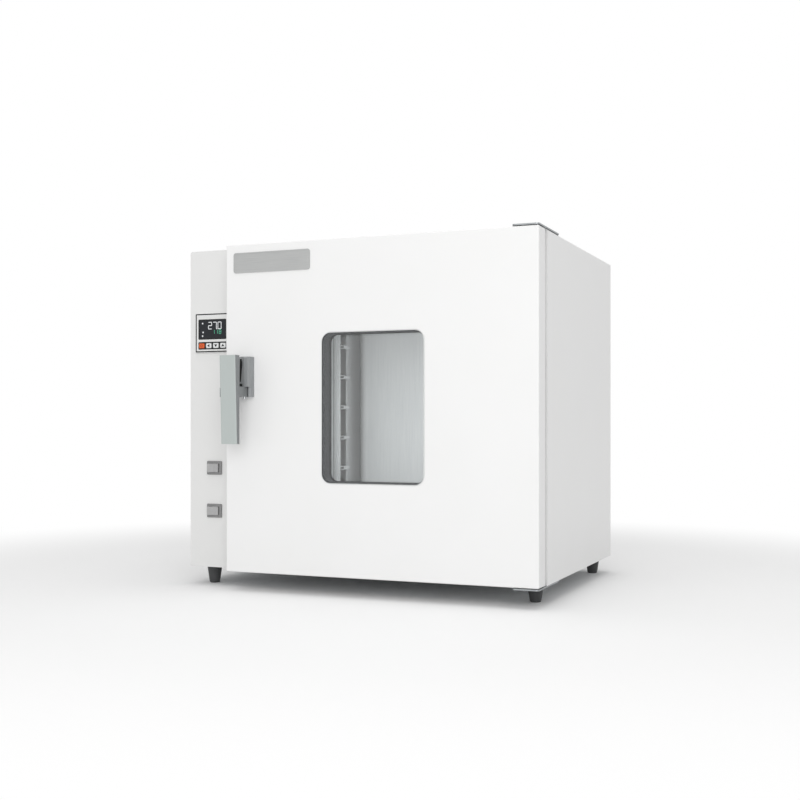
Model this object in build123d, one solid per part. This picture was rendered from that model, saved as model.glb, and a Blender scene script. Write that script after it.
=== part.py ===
from build123d import *
import os
from math import cos, radians, sin

# A bench-top forced-air laboratory oven, in millimetres.
# +X is right, +Y is towards the back, +Z is up, and the feet stand on Z = 0.

# Cabinet
body_width = 680.0
body_height = 580.0
body_depth = 468.0
body_corner = 4.0
sheet = 1.2
base_sheet = 1.5
fold = 14.0
seat_gap = 0.3
run_gap = 0.05

# Door
column_width = 107.0
door_thickness = 36.0
door_gap = 15.0
door_end_gap = 1.0
door_edge = 2.5
door_field_corner = 16.0
door_field_rise = 4.0
door_field_margin = 10.0

# Door hinges
hinge_plate_width = 45.0
hinge_plate_length = 125.0
hinge_plate_thickness = 2.5
hinge_inset = 14.0
hinge_pin_radius = 4.0
hinge_pin_length = 24.0
hinge_bush_radius = 7.0
hinge_screw_radius = 2.5

# Window
window_width = 187.0
window_height = 257.0
window_corner = 16.0
window_offset = -3.5
reveal_wall = 1.5
reveal_ledge = 2.0
glass_thickness = 4.0
glass_setback = 2.0

# Nameplate
nameplate_width = 150.7
nameplate_height = 35.5
nameplate_thickness = 1.6
nameplate_inset = 16.0
nameplate_rim = 2.2

# Door handle, measured from the door's free edge, its front face and the cabinet's underside
handle_left = 21.0
handle_width = 32.0
handle_low = 228.0
handle_length = 153.0
handle_reach = 58.0
handle_lean = 6.0
handle_back = 44.0
handle_base_low = 310.0
handle_base_height = 70.0
handle_base_right = 57.0
handle_plate = 5.0
handle_plate_inset = 2.0
handle_pin_x = 44.0
handle_pin_reach = 12.0
handle_pin_radius = 3.0
handle_pin_below = 4.0
handle_pin_grip = 30.0
handle_arm = 17.0
handle_arm_width = 10.0
handle_boss_radius = 6.0
handle_cheek = 4.5
handle_cheek_reach = 14.0
handle_core_left = 38.0
handle_core_reach = 16.5
handle_nose_left = 45.0
handle_nose_reach = 20.0
handle_nose_bevel = 2.5
handle_tail_overhang = 10.0
handle_tail_height = 16.0
handle_tail_thickness = 4.0
handle_tail_gap = 1.0

# Heating chamber and its opening
chamber_left_wall = 62.0
chamber_right_wall = 61.0
chamber_end_wall = 65.0
chamber_back_space = 79.0
gasket_corner = 4.0
liner_flange = 16.0
gasket_width = 12.0
gasket_offset = 3.0
insulation_back = 35.0

# Air duct and fan behind the chamber
duct_depth = 38.0
duct_side_gap = 14.0
duct_end_gap = 6.0
duct_bend = 6.0
grille_inner = 0.36
grille_outer = 0.7
grille_slot = 0.26
grille_slots = 8
fan_radius = 66.0
fan_width = 22.0
fan_blades = 12
fan_mouth = 0.72
fan_root = 0.62
fan_sweep = 14.0
fan_bow = 1.5
fan_shaft_radius = 4.0
fan_front_gap = 5.0
motor_radius = 34.0
motor_length = 32.0
motor_bell = 0.3
motor_stack = 0.92
motor_bearing = 0.7
heater_radius = 3.25
heater_inner = 92.0
heater_spacing = 28.0
heater_end_gap = 75.0
heater_bend = 12.0
probe_radius = 2.5
probe_reach = 45.0
probe_back = 150.0
probe_height = 28.0

# Shelf rails and shelves
rail_width = 30.0
rail_stand = 8.0
rail_foot = 12.0
rail_front = 42.0
rail_back = 37.0
rail_levels = 7
rail_low = 48.0
rail_high = 37.8
tab_width = 24.0
tab_reach = 8.0
tab_height = 7.0
shelf_front = 28.0
shelf_back = 7.0
shelf_rod = 2.5
shelf_wire = 1.5
shelf_pitch = 26.0
shelf_side_gap = 1.3

# Control column
split_overlap = 8.0
controller_size = 72.0
controller_left = 13.5
controller_low = 393.0
controller_stand = 5.0
controller_cutout = 68.0
controller_depth = 70.0
lens_inset = 6.4
lens_drop = 11.0
lens_height = 37.0
bezel_corner = 2.0
bezel_edge = 0.8
key_strip_low = 5.7
key_strip_height = 14.0
key_width = 12.4
key_height = 10.6
key_corner = 1.5
key_edge = 0.4
key_pitch = 15.0
key_travel = 0.8
key_count = 4
socket_height = 8.0
rocker_width = 31.0
rocker_height = 25.0
rocker_centre = 52.0
rocker_lower = 103.5
rocker_upper = 182.0
rocker_flange = 3.0
rocker_wall = 1.5
rocker_body_depth = 24.0
rocker_tilt = 12.0
rocker_pivot_depth = 1.0
rocker_root = 7.0
blade_thickness = 1.6
blade_width = 6.0
blade_reach = 8.0
blade_offset = 4.0

# Relay on its heat sink, and the terminal strip, in the control column
wiring_back = 210.0
relay_low = 174.0
sink_length = 80.0
sink_height = 90.0
sink_plate = 6.0
sink_fin_reach = 12.0
sink_fin_height = 30.0
sink_fins = 6
relay_width = 44.0
relay_height = 56.0
relay_depth = 24.0
terminal_low = 70.0
terminal_length = 90.0
terminal_height = 26.0
terminal_depth = 18.0
terminal_pocket = 10.0
terminal_ways = 6

# Feet
foot_height = 33.0
foot_top_radius = 14.0
foot_bottom_radius = 9.5
foot_side_inset = 30.5
foot_front_inset = 35.0
foot_back_inset = 30.0
foot_stud_radius = 3.0
foot_edge = 1.5

# Exhaust vent on the roof
vent_radius = 20.0
vent_wall = 1.5
vent_stand = 10.0
vent_flange_radius = 34.0
vent_back = 60.0
vent_stem_radius = 3.0
vent_bridge = 8.0
vent_cap_radius = 27.0
vent_cap_wall = 2.0
vent_cap_height = 14.0
vent_cap_edge = 3.0
vent_hub_radius = 6.0
vent_grip = 5.0
vent_grip_rise = 8.0
vent_slots = 8
vent_slot_width = 6.0
vent_slot_height = 5.0

# Back panel
rear_margin = 8.0
gland_reach = 20.0
gland_bore = 4.0
gland_radius = 9.0
gland_nut = 5.0
gland_inside = 8.0
gland_side = 60.0
gland_low = 55.0
fuse_radius = 7.0
fuse_reach = 12.0
fuse_inside = 20.0
fuse_flange = 3.0
fuse_low = 110.0
louvre_width = 60.0
louvre_slot = 4.0
louvre_pitch = 16.0
louvre_count = 8

# Places worked out from the sizes above
overall_depth = handle_reach + door_thickness + door_gap + body_depth + gland_reach
y_door = -overall_depth / 2 + handle_reach
y_door_back = y_door + door_thickness
y_front = y_door_back + door_gap
y_rear = y_front + body_depth
x_left = -body_width / 2
x_right = body_width / 2
x_door = x_left + column_width
x_split = x_door + split_overlap
z_base = foot_height
z_top = z_base + body_height
z_door = z_base + door_end_gap
z_door_top = z_top - door_end_gap

x_chamber_0 = x_door + chamber_left_wall
x_chamber_1 = x_right - chamber_right_wall
x_chamber = (x_chamber_0 + x_chamber_1) / 2
z_chamber_0 = z_base + chamber_end_wall
z_chamber_1 = z_top - chamber_end_wall
z_chamber = (z_chamber_0 + z_chamber_1) / 2
y_chamber = y_rear - chamber_back_space
y_duct = y_chamber - duct_depth
y_insulation = y_chamber + sheet + insulation_back
rail_rear = y_duct - rail_back - rail_foot - rail_width - y_front

x_hinge = x_right - hinge_inset
y_hinge = y_door + door_thickness / 2
x_window = (x_door + x_right) / 2 + window_offset
z_window = (z_door + z_door_top) / 2
x_partition = x_split + sheet + seat_gap
y_motor = y_insulation + seat_gap + base_sheet
x_vent = x_chamber
y_vent = y_chamber - vent_back


# Helpers for panels that face front, slabs in plan, and round bars

def front_plane(y):
    return Plane(origin=(0, y, 0), x_dir=(1, 0, 0), z_dir=(0, -1, 0))


def front_panel(x0, x1, z0, z1, y0, y1, corner=0.0):
    place = front_plane(y1) * Pos((x0 + x1) / 2, (z0 + z1) / 2)
    outline = RectangleRounded(x1 - x0, z1 - z0, corner) if corner else Rectangle(x1 - x0, z1 - z0)
    return extrude(place * outline, y1 - y0)


def block(x0, x1, y0, y1, z0, z1):
    return Pos((x0 + x1) / 2, (y0 + y1) / 2, (z0 + z1) / 2) * Box(x1 - x0, y1 - y0, z1 - z0)


def plan_prism(points, z0, z1):
    outline = make_face(Polyline(*points, close=True))
    return extrude(Pos(0, 0, z0) * outline, z1 - z0)


def bar_x(y, z, radius, x0, x1):
    return Pos((x0 + x1) / 2, y, z) * Rot(0, 90, 0) * Cylinder(radius, x1 - x0)


def bar_y(x, z, radius, y0, y1):
    return Pos(x, (y0 + y1) / 2, z) * Rot(90, 0, 0) * Cylinder(radius, y1 - y0)


def bar_z(x, y, radius, z0, z1):
    return Pos(x, y, (z0 + z1) / 2) * Cylinder(radius, z1 - z0)


def ring_of(place, radius, count, outline):
    return Sketch() + [place * spot * outline for spot in PolarLocations(radius, count)]


def edges_along(solid, axis, keep):
    return [edge for edge in solid.edges().filter_by(axis) if keep(edge.center())]


# Cabinet panels

def foot_places():
    left = x_left + foot_side_inset
    right = x_right - foot_side_inset
    front = y_front + foot_front_inset
    back = y_rear - foot_back_inset
    return {
        "front_left": (left, front),
        "front_right": (right, front),
        "rear_left": (left, back),
        "rear_right": (right, back),
    }


def make_outer_wrap():
    y0 = y_front + sheet
    outer = block(x_left, x_right, y0, y_rear, z_base, z_top)
    bends = edges_along(outer, Axis.Y, lambda c: c.Z > z_base + body_height / 2)
    bends += edges_along(outer, Axis.Z, lambda c: c.Y > y0 + body_depth / 2)
    outer = fillet(bends, body_corner)
    inner = block(x_left + sheet, x_right - sheet, y0 - sheet, y_rear - sheet, z_base - sheet, z_top - sheet)
    bends = edges_along(inner, Axis.Y, lambda c: c.Z > z_base + body_height / 2)
    bends += edges_along(inner, Axis.Z, lambda c: c.Y > y0 + body_depth / 2)
    inner = fillet(bends, body_corner - sheet)
    lip = rear_margin + fold
    rear_hole = block(
        x_left + lip, x_right - lip, y_rear - 2 * sheet, y_rear + sheet, z_base - sheet, z_top - lip)
    vent_hole = bar_z(x_vent, y_vent, vent_radius + seat_gap, z_top - 2 * sheet, z_top + sheet)
    wrap = outer - inner - rear_hole - vent_hole
    return wrap - hinge_screw_holes(z_top - 2 * sheet, z_top + sheet)


def make_base_tray():
    side = sheet + seat_gap
    x0, x1 = x_left + side, x_right - side
    y0, y1 = y_front + side, y_rear - side
    tray = block(x0, x1, y0, y1, z_base, z_base + fold)
    tray = fillet(tray.edges().filter_by(Axis.Z), body_corner)
    hollow = block(
        x0 + base_sheet, x1 - base_sheet, y0 + base_sheet, y1 - base_sheet,
        z_base + base_sheet, z_base + 2 * fold)
    tray -= hollow
    for x, y in foot_places().values():
        tray -= bar_z(x, y, foot_stud_radius + run_gap, z_base - sheet, z_base + fold)
    return tray - hinge_screw_holes(z_base - sheet, z_base + 2 * base_sheet)


def make_front_frame():
    y1 = y_front + sheet
    frame = front_panel(x_split, x_right, z_base, z_top, y_front, y1)
    frame = fillet(edges_along(frame, Axis.Y, lambda c: c.X > 0 and c.Z > z_chamber), body_corner)
    inner = sheet + seat_gap
    frame += block(
        x_right - inner - sheet, x_right - inner, y1, y1 + fold,
        z_base + fold + seat_gap, z_top - inner - body_corner)
    frame += block(
        x_partition + sheet + seat_gap, x_right - inner - body_corner, y1, y1 + fold,
        z_top - inner - sheet, z_top - inner)
    frame += block(x_split, x_split + sheet, y1, y1 + fold, z_base + fold + seat_gap, z_top - inner)
    wall = sheet + seat_gap
    opening = front_panel(
        x_chamber_0 - wall, x_chamber_1 + wall, z_chamber_0 - wall, z_chamber_1 + wall,
        y_front - sheet, y1 + sheet)
    return frame - opening - hinge_screw_holes(z_base, z_top)


def make_control_panel():
    y1 = y_front + sheet
    x1 = x_split - seat_gap
    panel = front_panel(x_left, x1, z_base, z_top, y_front, y1)
    panel = fillet(edges_along(panel, Axis.Y, lambda c: c.X < x_split - fold and c.Z > z_chamber), body_corner)
    inner = sheet + seat_gap
    panel += block(x_left + inner, x_left + inner + sheet, y1, y1 + fold,
                   z_base + fold + seat_gap, z_top - inner - body_corner)
    panel += block(x1 - sheet, x1, y1, y1 + fold, z_base + fold + seat_gap, z_top - inner)
    panel += block(x_left + inner + body_corner, x1, y1, y1 + fold, z_top - inner - sheet, z_top - inner)
    x, z = controller_centre()
    half = controller_cutout / 2
    panel -= front_panel(x - half, x + half, z - half, z + half, y_front - sheet, y1 + sheet)
    for z in rocker_heights():
        wide, high = rocker_cutout()
        panel -= front_panel(
            rocker_x() - wide / 2, rocker_x() + wide / 2, z - high / 2, z + high / 2,
            y_front - sheet, y1 + sheet)
    return panel


def make_rear_panel():
    x0, x1 = x_left + rear_margin, x_right - rear_margin
    z0, z1 = z_base + seat_gap, z_top - rear_margin
    panel = front_panel(x0, x1, z0, z1, y_rear, y_rear + sheet, body_corner)
    for column in (-1, 1):
        x = x_chamber + column * (louvre_width + fold)
        for row in range(louvre_count):
            z = z_chamber + (row - (louvre_count - 1) / 2) * louvre_pitch
            panel -= louvre_cut(x, z)
            panel += louvre_hood(x, z)
    x, z = gland_place()
    panel -= bar_y(x, z, gland_radius - 2 + run_gap, y_rear - sheet, y_rear + 2 * sheet)
    x, z = fuse_place()
    return panel - bar_y(x, z, fuse_radius - 1 + run_gap, y_rear - sheet, y_rear + 2 * sheet)


def louvre_cut(x, z):
    half = louvre_width / 2
    return block(x - half, x + half, y_rear - sheet, y_rear + 2 * sheet, z - louvre_slot, z)


def louvre_hood(x, z):
    # A pressed hood: a sloping strip above each slot, open underneath
    y = y_rear + sheet
    low = z - louvre_slot
    section = make_face(Polyline(
        (y, z), (y + louvre_slot - sheet, low), (y + louvre_slot, low), (y, z + sheet), close=True))
    side_plane = Plane(origin=(x - louvre_width / 2, 0, 0), x_dir=(0, 1, 0), z_dir=(1, 0, 0))
    return extrude(side_plane * section, louvre_width)


def make_partition():
    edge = sheet + seat_gap
    return block(
        x_partition, x_partition + sheet, y_front + 2 * edge + seat_gap, y_rear - 2 * edge - seat_gap,
        z_base + base_sheet + seat_gap, z_top - sheet - seat_gap)


# Heating chamber

def make_chamber_liner():
    y0 = y_front - sheet
    x0, x1 = x_chamber_0 - sheet, x_chamber_1 + sheet
    z0, z1 = z_chamber_0 - sheet, z_chamber_1 + sheet
    outer = front_panel(x0, x1, z0, z1, y0, y_chamber + sheet)
    flange = front_panel(
        x0 - liner_flange, x1 + liner_flange, z0 - liner_flange, z1 + liner_flange, y0, y_front)
    inner = front_panel(x_chamber_0, x_chamber_1, z_chamber_0, z_chamber_1, y0 - sheet, y_chamber)
    liner = outer + flange - inner
    liner -= bar_y(x_chamber, z_chamber, 2 * fan_shaft_radius, y_chamber - sheet, y_chamber + 2 * sheet)
    for x in heater_legs():
        liner -= bar_y(x, heater_low(), heater_radius + seat_gap, y_chamber - sheet, y_chamber + 2 * sheet)
    liner -= bar_z(x_vent, y_vent, vent_radius + seat_gap, z_chamber_1 - sheet, z_chamber_1 + 2 * sheet)
    y, z = probe_place()
    return liner - bar_x(y, z, probe_radius + seat_gap, x_chamber_0 - 2 * sheet, x_chamber_0 + sheet)


def make_insulation():
    edge = 2 * sheet + 2 * seat_gap
    wool = block(
        x_partition + sheet + seat_gap, x_right - edge, y_front + sheet + edge, y_insulation,
        z_base + base_sheet + seat_gap, z_top - edge)
    wall = sheet + seat_gap
    wool -= front_panel(
        x_chamber_0 - wall, x_chamber_1 + wall, z_chamber_0 - wall, z_chamber_1 + wall,
        y_front, y_chamber + wall)
    wool -= block(
        x_right - 2 * fold, x_right, y_front, y_rear, z_base, z_base + fold + seat_gap)
    # Cuts for what passes through the wool are square, as a knife makes them
    reach = 2 * fan_shaft_radius
    wool -= block(x_chamber - reach, x_chamber + reach, y_chamber, y_rear, z_chamber - reach, z_chamber + reach)
    reach = heater_radius + seat_gap
    z = heater_low()
    for x in heater_legs():
        wool -= block(x - reach, x + reach, y_chamber, y_rear, z - reach, z + reach)
    wool -= bar_z(x_vent, y_vent, vent_radius + seat_gap, z_chamber_1, z_top)
    reach = probe_radius + seat_gap
    y, z = probe_place()
    wool -= block(x_partition, x_chamber_0, y - reach, y + reach, z - reach, z + reach)
    reach = 2 * foot_stud_radius
    for x, y in foot_places().values():
        wool -= block(x - reach, x + reach, y - reach, y + reach, z_base, z_base + fold)
    reach = hinge_screw_radius + seat_gap
    for bottom in (z_base, z_top - fold):
        for x, y in hinge_screw_places():
            wool -= block(x - reach, x + reach, y - reach, y + reach, bottom, bottom + fold)
    return wool


def make_gasket():
    inner = gasket_offset
    outer = gasket_offset + gasket_width
    y0 = y_door_back + seat_gap
    y1 = y_front - sheet
    ring = front_panel(
        x_chamber_0 - outer, x_chamber_1 + outer, z_chamber_0 - outer, z_chamber_1 + outer,
        y0, y1, gasket_corner + outer)
    hole = front_panel(
        x_chamber_0 - inner, x_chamber_1 + inner, z_chamber_0 - inner, z_chamber_1 + inner,
        y0 - sheet, y1 + sheet, gasket_corner + inner)
    ring -= hole
    lip = ring.faces().sort_by(Axis.Y)[0]
    return chamfer(lip.edges(), gasket_width / 4)


# Air duct, fan and heater

def make_duct_panel():
    x0, x1 = x_chamber_0 + duct_side_gap, x_chamber_1 - duct_side_gap
    z0, z1 = z_chamber_0 + duct_end_gap, z_chamber_1 - duct_end_gap
    tray = block(x0, x1, y_duct, y_chamber, z0, z1)
    tray = fillet(edges_along(tray, Axis.Z, lambda c: c.Y < y_duct + 1), duct_bend)
    hollow = block(x0 + sheet, x1 - sheet, y_duct + sheet, y_chamber + sheet, z0 + sheet, z1 - sheet)
    hollow = fillet(edges_along(hollow, Axis.Z, lambda c: c.Y < y_duct + 2 * sheet), duct_bend - sheet)
    tray -= hollow
    # Outlet slots down both sides
    slot_y0, slot_y1 = y_duct + 2 * duct_bend, y_chamber - duct_bend
    for z in level_heights():
        tray -= block(x0 - sheet, x1 + sheet, slot_y0, slot_y1, z - 2 * duct_bend, z + 2 * duct_bend)
    # Intake grille in the middle: two rings of radial slots
    place = front_plane(y_duct + 2 * sheet) * Pos(x_chamber, z_chamber)
    for ring, count in ((grille_inner, grille_slots), (grille_outer, 2 * grille_slots)):
        slots = ring_of(place, fan_radius * ring, count, Rectangle(fan_radius * grille_slot, duct_bend))
        tray -= extrude(slots, 3 * sheet)
    return tray


def make_fan_wheel():
    y0 = y_duct + sheet + fan_front_gap
    y1 = y0 + fan_width
    hub_radius = 3 * fan_shaft_radius
    wheel = bar_y(x_chamber, z_chamber, fan_radius, y1 - sheet, y1)
    wheel += bar_y(x_chamber, z_chamber, hub_radius, y0 + fan_width / 3, y1)
    ring = bar_y(x_chamber, z_chamber, fan_radius, y0, y0 + sheet)
    ring -= bar_y(x_chamber, z_chamber, fan_radius * fan_mouth, y0 - sheet, y0 + 2 * sheet)
    wheel += ring
    # Each blade is a strip bent once, so its outline is six straight sides
    root, tip = fan_radius * fan_root, fan_radius - sheet
    rise = tip * sin(radians(fan_sweep))
    middle = (root + tip) / 2 + fan_bow
    blade = make_face(Polyline(
        (root, 0), (middle, rise / 2 - fan_bow), (tip * cos(radians(fan_sweep)), rise - sheet / 2),
        (tip * cos(radians(fan_sweep)), rise + sheet / 2), (middle, rise / 2 - fan_bow + sheet),
        (root, sheet), close=True))
    blades = ring_of(front_plane(y1 - sheet / 2) * Pos(x_chamber, z_chamber), 0, fan_blades, blade)
    wheel += extrude(blades, fan_width - sheet)
    return wheel - bar_y(x_chamber, z_chamber, fan_shaft_radius + run_gap, y0 - fan_width, y1 + sheet)


def make_fan_shaft():
    y0 = y_duct + sheet + fan_front_gap + fan_width / 3
    return bar_y(x_chamber, z_chamber, fan_shaft_radius, y0, y_motor + motor_length * motor_bearing)


def make_motor_bracket():
    # A folded upright from the base tray to the roof, behind the insulation
    half = motor_radius + fold
    y0 = y_insulation + seat_gap
    z0, z1 = z_base + base_sheet + seat_gap, z_top - sheet - seat_gap
    upright = block(x_chamber - half, x_chamber + half, y0, y0 + fold, z0, z1)
    upright -= block(
        x_chamber - half + base_sheet, x_chamber + half - base_sheet, y0 + base_sheet, y0 + 2 * fold,
        z0 - fold, z1 + fold)
    upright -= bar_y(x_chamber, z_chamber, 2 * fan_shaft_radius, y0 - sheet, y0 + fold)
    return upright


def make_fan_motor():
    y0 = y_motor
    bell = motor_length * motor_bell
    body = bar_y(x_chamber, z_chamber, motor_radius, y0, y0 + motor_length)
    body = chamfer(body.edges().filter_by(GeomType.CIRCLE), bell / 2)
    half = motor_radius * motor_stack
    body += block(
        x_chamber - half, x_chamber + half, y0 + bell, y0 + motor_length - bell,
        z_chamber - half, z_chamber + half)
    return body - bar_y(
        x_chamber, z_chamber, fan_shaft_radius + run_gap,
        y0 - sheet, y0 + motor_length * motor_bearing + seat_gap)


def heater_legs():
    legs = []
    for side in (-1, 1):
        legs.append(x_chamber + side * heater_inner)
        legs.append(x_chamber + side * (heater_inner + heater_spacing))
    return legs


def heater_low():
    return z_chamber_0 + heater_end_gap


def make_heaters():
    y = y_chamber - duct_depth / 2
    y_end = y_insulation + 2 * heater_radius
    low, high = heater_low(), z_chamber_1 - heater_end_gap
    tubes = []
    for side in (-1, 1):
        near = x_chamber + side * heater_inner
        far = x_chamber + side * (heater_inner + heater_spacing)
        route = FilletPolyline(
            (near, y_end, low), (near, y, low), (near, y, high),
            (far, y, high), (far, y, low), (far, y_end, low), radius=heater_bend)
        start = Plane(origin=(near, y_end, low), z_dir=(0, -1, 0))
        tubes.append(sweep(start * RegularPolygon(heater_radius, 8), path=route, transition=Transition.ROUND))
    return Compound(children=tubes)


def probe_place():
    return y_front + probe_back, z_chamber_0 + probe_height


def make_probe():
    y, z = probe_place()
    x1 = x_chamber_0 + probe_reach
    rod = bar_x(y, z, probe_radius, x_partition + sheet + seat_gap, x1)
    rod = chamfer(rod.edges().sort_by(Axis.X)[-1], probe_radius / 2)
    collar = bar_x(y, z, 3 * probe_radius, x_chamber_0, x_chamber_0 + 2 * sheet)
    return rod + collar


# Shelf rails and shelves

def rail_section(y0, out):
    # A hat section in plan: two feet on the wall and a raised web
    return [
        (0, y0 - rail_foot), (out * sheet, y0 - rail_foot), (out * sheet, y0),
        (out * rail_stand, y0), (out * rail_stand, y0 + rail_width), (out * sheet, y0 + rail_width),
        (out * sheet, y0 + rail_width + rail_foot), (0, y0 + rail_width + rail_foot),
        (0, y0 + rail_width - sheet), (out * (rail_stand - sheet), y0 + rail_width - sheet),
        (out * (rail_stand - sheet), y0 + sheet), (0, y0 + sheet),
    ]


def level_heights():
    first, last = z_chamber_0 + rail_low, z_chamber_1 - rail_high
    return [first + (last - first) * level / (rail_levels - 1) for level in range(rail_levels)]


def make_rail(wall_x, out, distance):
    y0 = y_front + distance
    points = [(wall_x + x, y) for x, y in rail_section(y0, out)]
    rail = plan_prism(points, z_chamber_0 + fold, z_chamber_1 - fold)
    face = wall_x + out * rail_stand
    tip = face + out * tab_reach
    y_mid = y0 + rail_width / 2
    for z in level_heights():
        x0, x1 = sorted((face, tip))
        tab = block(x0, x1, y_mid - tab_width / 2, y_mid + tab_width / 2, z - tab_height / 2, z + tab_height / 2)
        nose = [edge for edge in tab.edges().filter_by(Axis.Y) if abs(edge.center().X - tip) < 0.01]
        tab = chamfer(nose, sheet)
        x0, x1 = sorted((face, tip - out * sheet))
        tab -= block(
            x0, x1, y_mid - tab_width, y_mid + tab_width,
            z - tab_height / 2 + sheet, z + tab_height / 2 - sheet)
        rail += tab
    return rail


def make_shelf(level):
    z = level_heights()[level] + tab_height / 2 + seat_gap + shelf_rod
    x0 = x_chamber_0 + rail_stand + shelf_side_gap
    x1 = x_chamber_1 - rail_stand - shelf_side_gap
    y0 = y_front + shelf_front
    y1 = y_duct - shelf_back
    corner = 4 * shelf_rod
    middle = Pos((x0 + x1) / 2, (y0 + y1) / 2, z - shelf_rod)
    frame = extrude(middle * RectangleRounded(x1 - x0, y1 - y0, corner), 2 * shelf_rod)
    inner_width, inner_depth = x1 - x0 - 4 * shelf_rod, y1 - y0 - 4 * shelf_rod
    frame -= extrude(middle * RectangleRounded(inner_width, inner_depth, corner / 2), 2 * shelf_rod)
    loops = frame.faces().sort_by(Axis.Z)
    shelf = chamfer(loops[0].edges() + loops[-1].edges(), shelf_rod * 0.58)
    count = int((x1 - x0 - 2 * corner) / shelf_pitch) + 1
    for index in range(count):
        x = (x0 + x1) / 2 + (index - (count - 1) / 2) * shelf_pitch
        shelf += block(
            x - shelf_wire, x + shelf_wire, y0 + shelf_rod, y1 - shelf_rod, z - shelf_wire, z + shelf_wire)
    y = (y0 + y1) / 2
    return shelf + block(x0 + shelf_rod, x1 - shelf_rod, y - shelf_rod, y + shelf_rod, z - shelf_rod, z + shelf_wire)


# Door

def window_ring(grow, y0, y1):
    return front_panel(
        x_window - window_width / 2 - grow, x_window + window_width / 2 + grow,
        z_window - window_height / 2 - grow, z_window + window_height / 2 + grow,
        y0, y1, window_corner + grow)


def make_door_shell():
    outer = block(x_door, x_right, y_door, y_door_back, z_door, z_door_top)
    outer = fillet(outer.edges().filter_by(Axis.Y), door_edge)
    outer = fillet(outer.faces().sort_by(Axis.Y)[0].edges(), door_edge * 0.8)
    hollow = block(
        x_door + sheet, x_right - sheet, y_door + sheet, y_door_back + sheet,
        z_door + sheet, z_door_top - sheet)
    hollow = fillet(hollow.edges().filter_by(Axis.Y), door_edge - sheet)
    shell = outer - hollow - window_ring(reveal_wall + seat_gap / 2, y_door - sheet, y_door_back)
    for z in (z_door, z_door_top):
        shell -= bar_z(x_hinge, y_hinge, hinge_bush_radius + run_gap, z - 2 * sheet, z + 2 * sheet)
    return shell


def field_box(shrink, y0, y1, corner):
    inset = door_field_margin + shrink
    return front_panel(
        x_chamber_0 + inset, x_chamber_1 - inset, z_chamber_0 + inset, z_chamber_1 - inset, y0, y1, corner)


def make_door_inner_panel():
    edge = sheet + seat_gap
    y0 = y_door_back - sheet
    panel = front_panel(
        x_door + edge, x_right - edge, z_door + edge, z_door_top - edge, y0, y_door_back, door_edge)
    raised = field_box(0, y0, y_door_back + door_field_rise, door_field_corner)
    raised = fillet(raised.faces().sort_by(Axis.Y)[-1].edges(), door_edge)
    panel += raised
    panel -= field_box(sheet, y0 - sheet, y_door_back + door_field_rise - sheet, door_field_corner - sheet)
    return panel - window_ring(
        reveal_wall + seat_gap / 2, y_door, y_door_back + 2 * door_field_rise)


def make_door_insulation():
    edge = sheet + seat_gap
    wool = front_panel(
        x_door + edge, x_right - edge, z_door + edge, z_door_top - edge,
        y_door + edge, y_door_back - edge, door_edge)
    wool -= window_ring(reveal_wall + seat_gap, y_door, y_door_back)
    for z in (z_door, z_door_top - hinge_pin_length - edge):
        wool -= bar_z(
            x_hinge, y_hinge, hinge_bush_radius + seat_gap, z, z + hinge_pin_length + edge)
    return wool


def make_window_reveal():
    y0 = y_door - seat_gap
    y1 = y_door_back + door_field_rise + seat_gap
    reveal = window_ring(reveal_wall, y0, y1) - window_ring(0, y0 - sheet, y1 + sheet)
    outer_seat = y_door + glass_setback + glass_thickness + seat_gap / 2
    inner_seat = y1 - glass_setback - glass_thickness - seat_gap / 2
    for y in (outer_seat, inner_seat - reveal_wall):
        reveal += window_ring(reveal_wall / 2, y, y + reveal_wall) - window_ring(
            -reveal_ledge, y - sheet, y + reveal_wall + sheet)
    return reveal


def make_outer_glass():
    y0 = y_door + glass_setback
    return window_ring(-seat_gap / 2, y0, y0 + glass_thickness)


def make_inner_glass():
    y1 = y_door_back + door_field_rise + seat_gap - glass_setback
    return window_ring(-seat_gap / 2, y1 - glass_thickness, y1)


def make_nameplate():
    x0 = x_door + nameplate_inset
    z1 = z_top - nameplate_inset
    x1, z0 = x0 + nameplate_width, z1 - nameplate_height
    y0 = y_door - nameplate_thickness
    plate = front_panel(x0, x1, z0, z1, y0, y_door, 2 * nameplate_rim)
    rim = nameplate_rim
    field = front_panel(
        x0 + rim, x1 - rim, z0 + rim, z1 - rim, y0 - sheet, y0 + nameplate_thickness / 3, rim)
    return plate - field


# Hinges

def hinge_screw_places():
    x0 = x_right - hinge_plate_width + 4 * hinge_screw_radius
    x1 = x_right - 4 * hinge_screw_radius
    y0 = y_front + 4 * hinge_screw_radius
    y1 = y_door + hinge_plate_length - 5 * hinge_screw_radius
    return [(x0, y0), (x1, y0), (x0, y1), (x1, y1)]


def hinge_screw_holes(z0, z1):
    holes = [bar_z(x, y, hinge_screw_radius + run_gap, z0, z1) for x, y in hinge_screw_places()]
    return Part() + holes


def make_hinge_plate(z0, studded):
    z1 = z0 + hinge_plate_thickness
    plate = block(
        x_right - hinge_plate_width, x_right, y_door, y_door + hinge_plate_length, z0, z1)
    plate = fillet(plate.edges().filter_by(Axis.Z), 2 * door_edge)
    plate -= bar_z(x_hinge, y_hinge, hinge_pin_radius + run_gap, z0 - sheet, z1 + sheet)
    plate -= hinge_screw_holes(z0 - sheet, z1 + sheet)
    if studded:
        x, y = foot_places()["front_right"]
        plate -= bar_z(x, y, foot_stud_radius + run_gap, z0 - sheet, z1 + sheet)
    return plate


def make_hinge_pin(top):
    if top:
        return bar_z(x_hinge, y_hinge, hinge_pin_radius, z_door_top - hinge_pin_length + 2 * sheet,
                     z_top + hinge_plate_thickness)
    return bar_z(x_hinge, y_hinge, hinge_pin_radius, z_base - hinge_plate_thickness,
                 z_door + hinge_pin_length - 2 * sheet)


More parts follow.
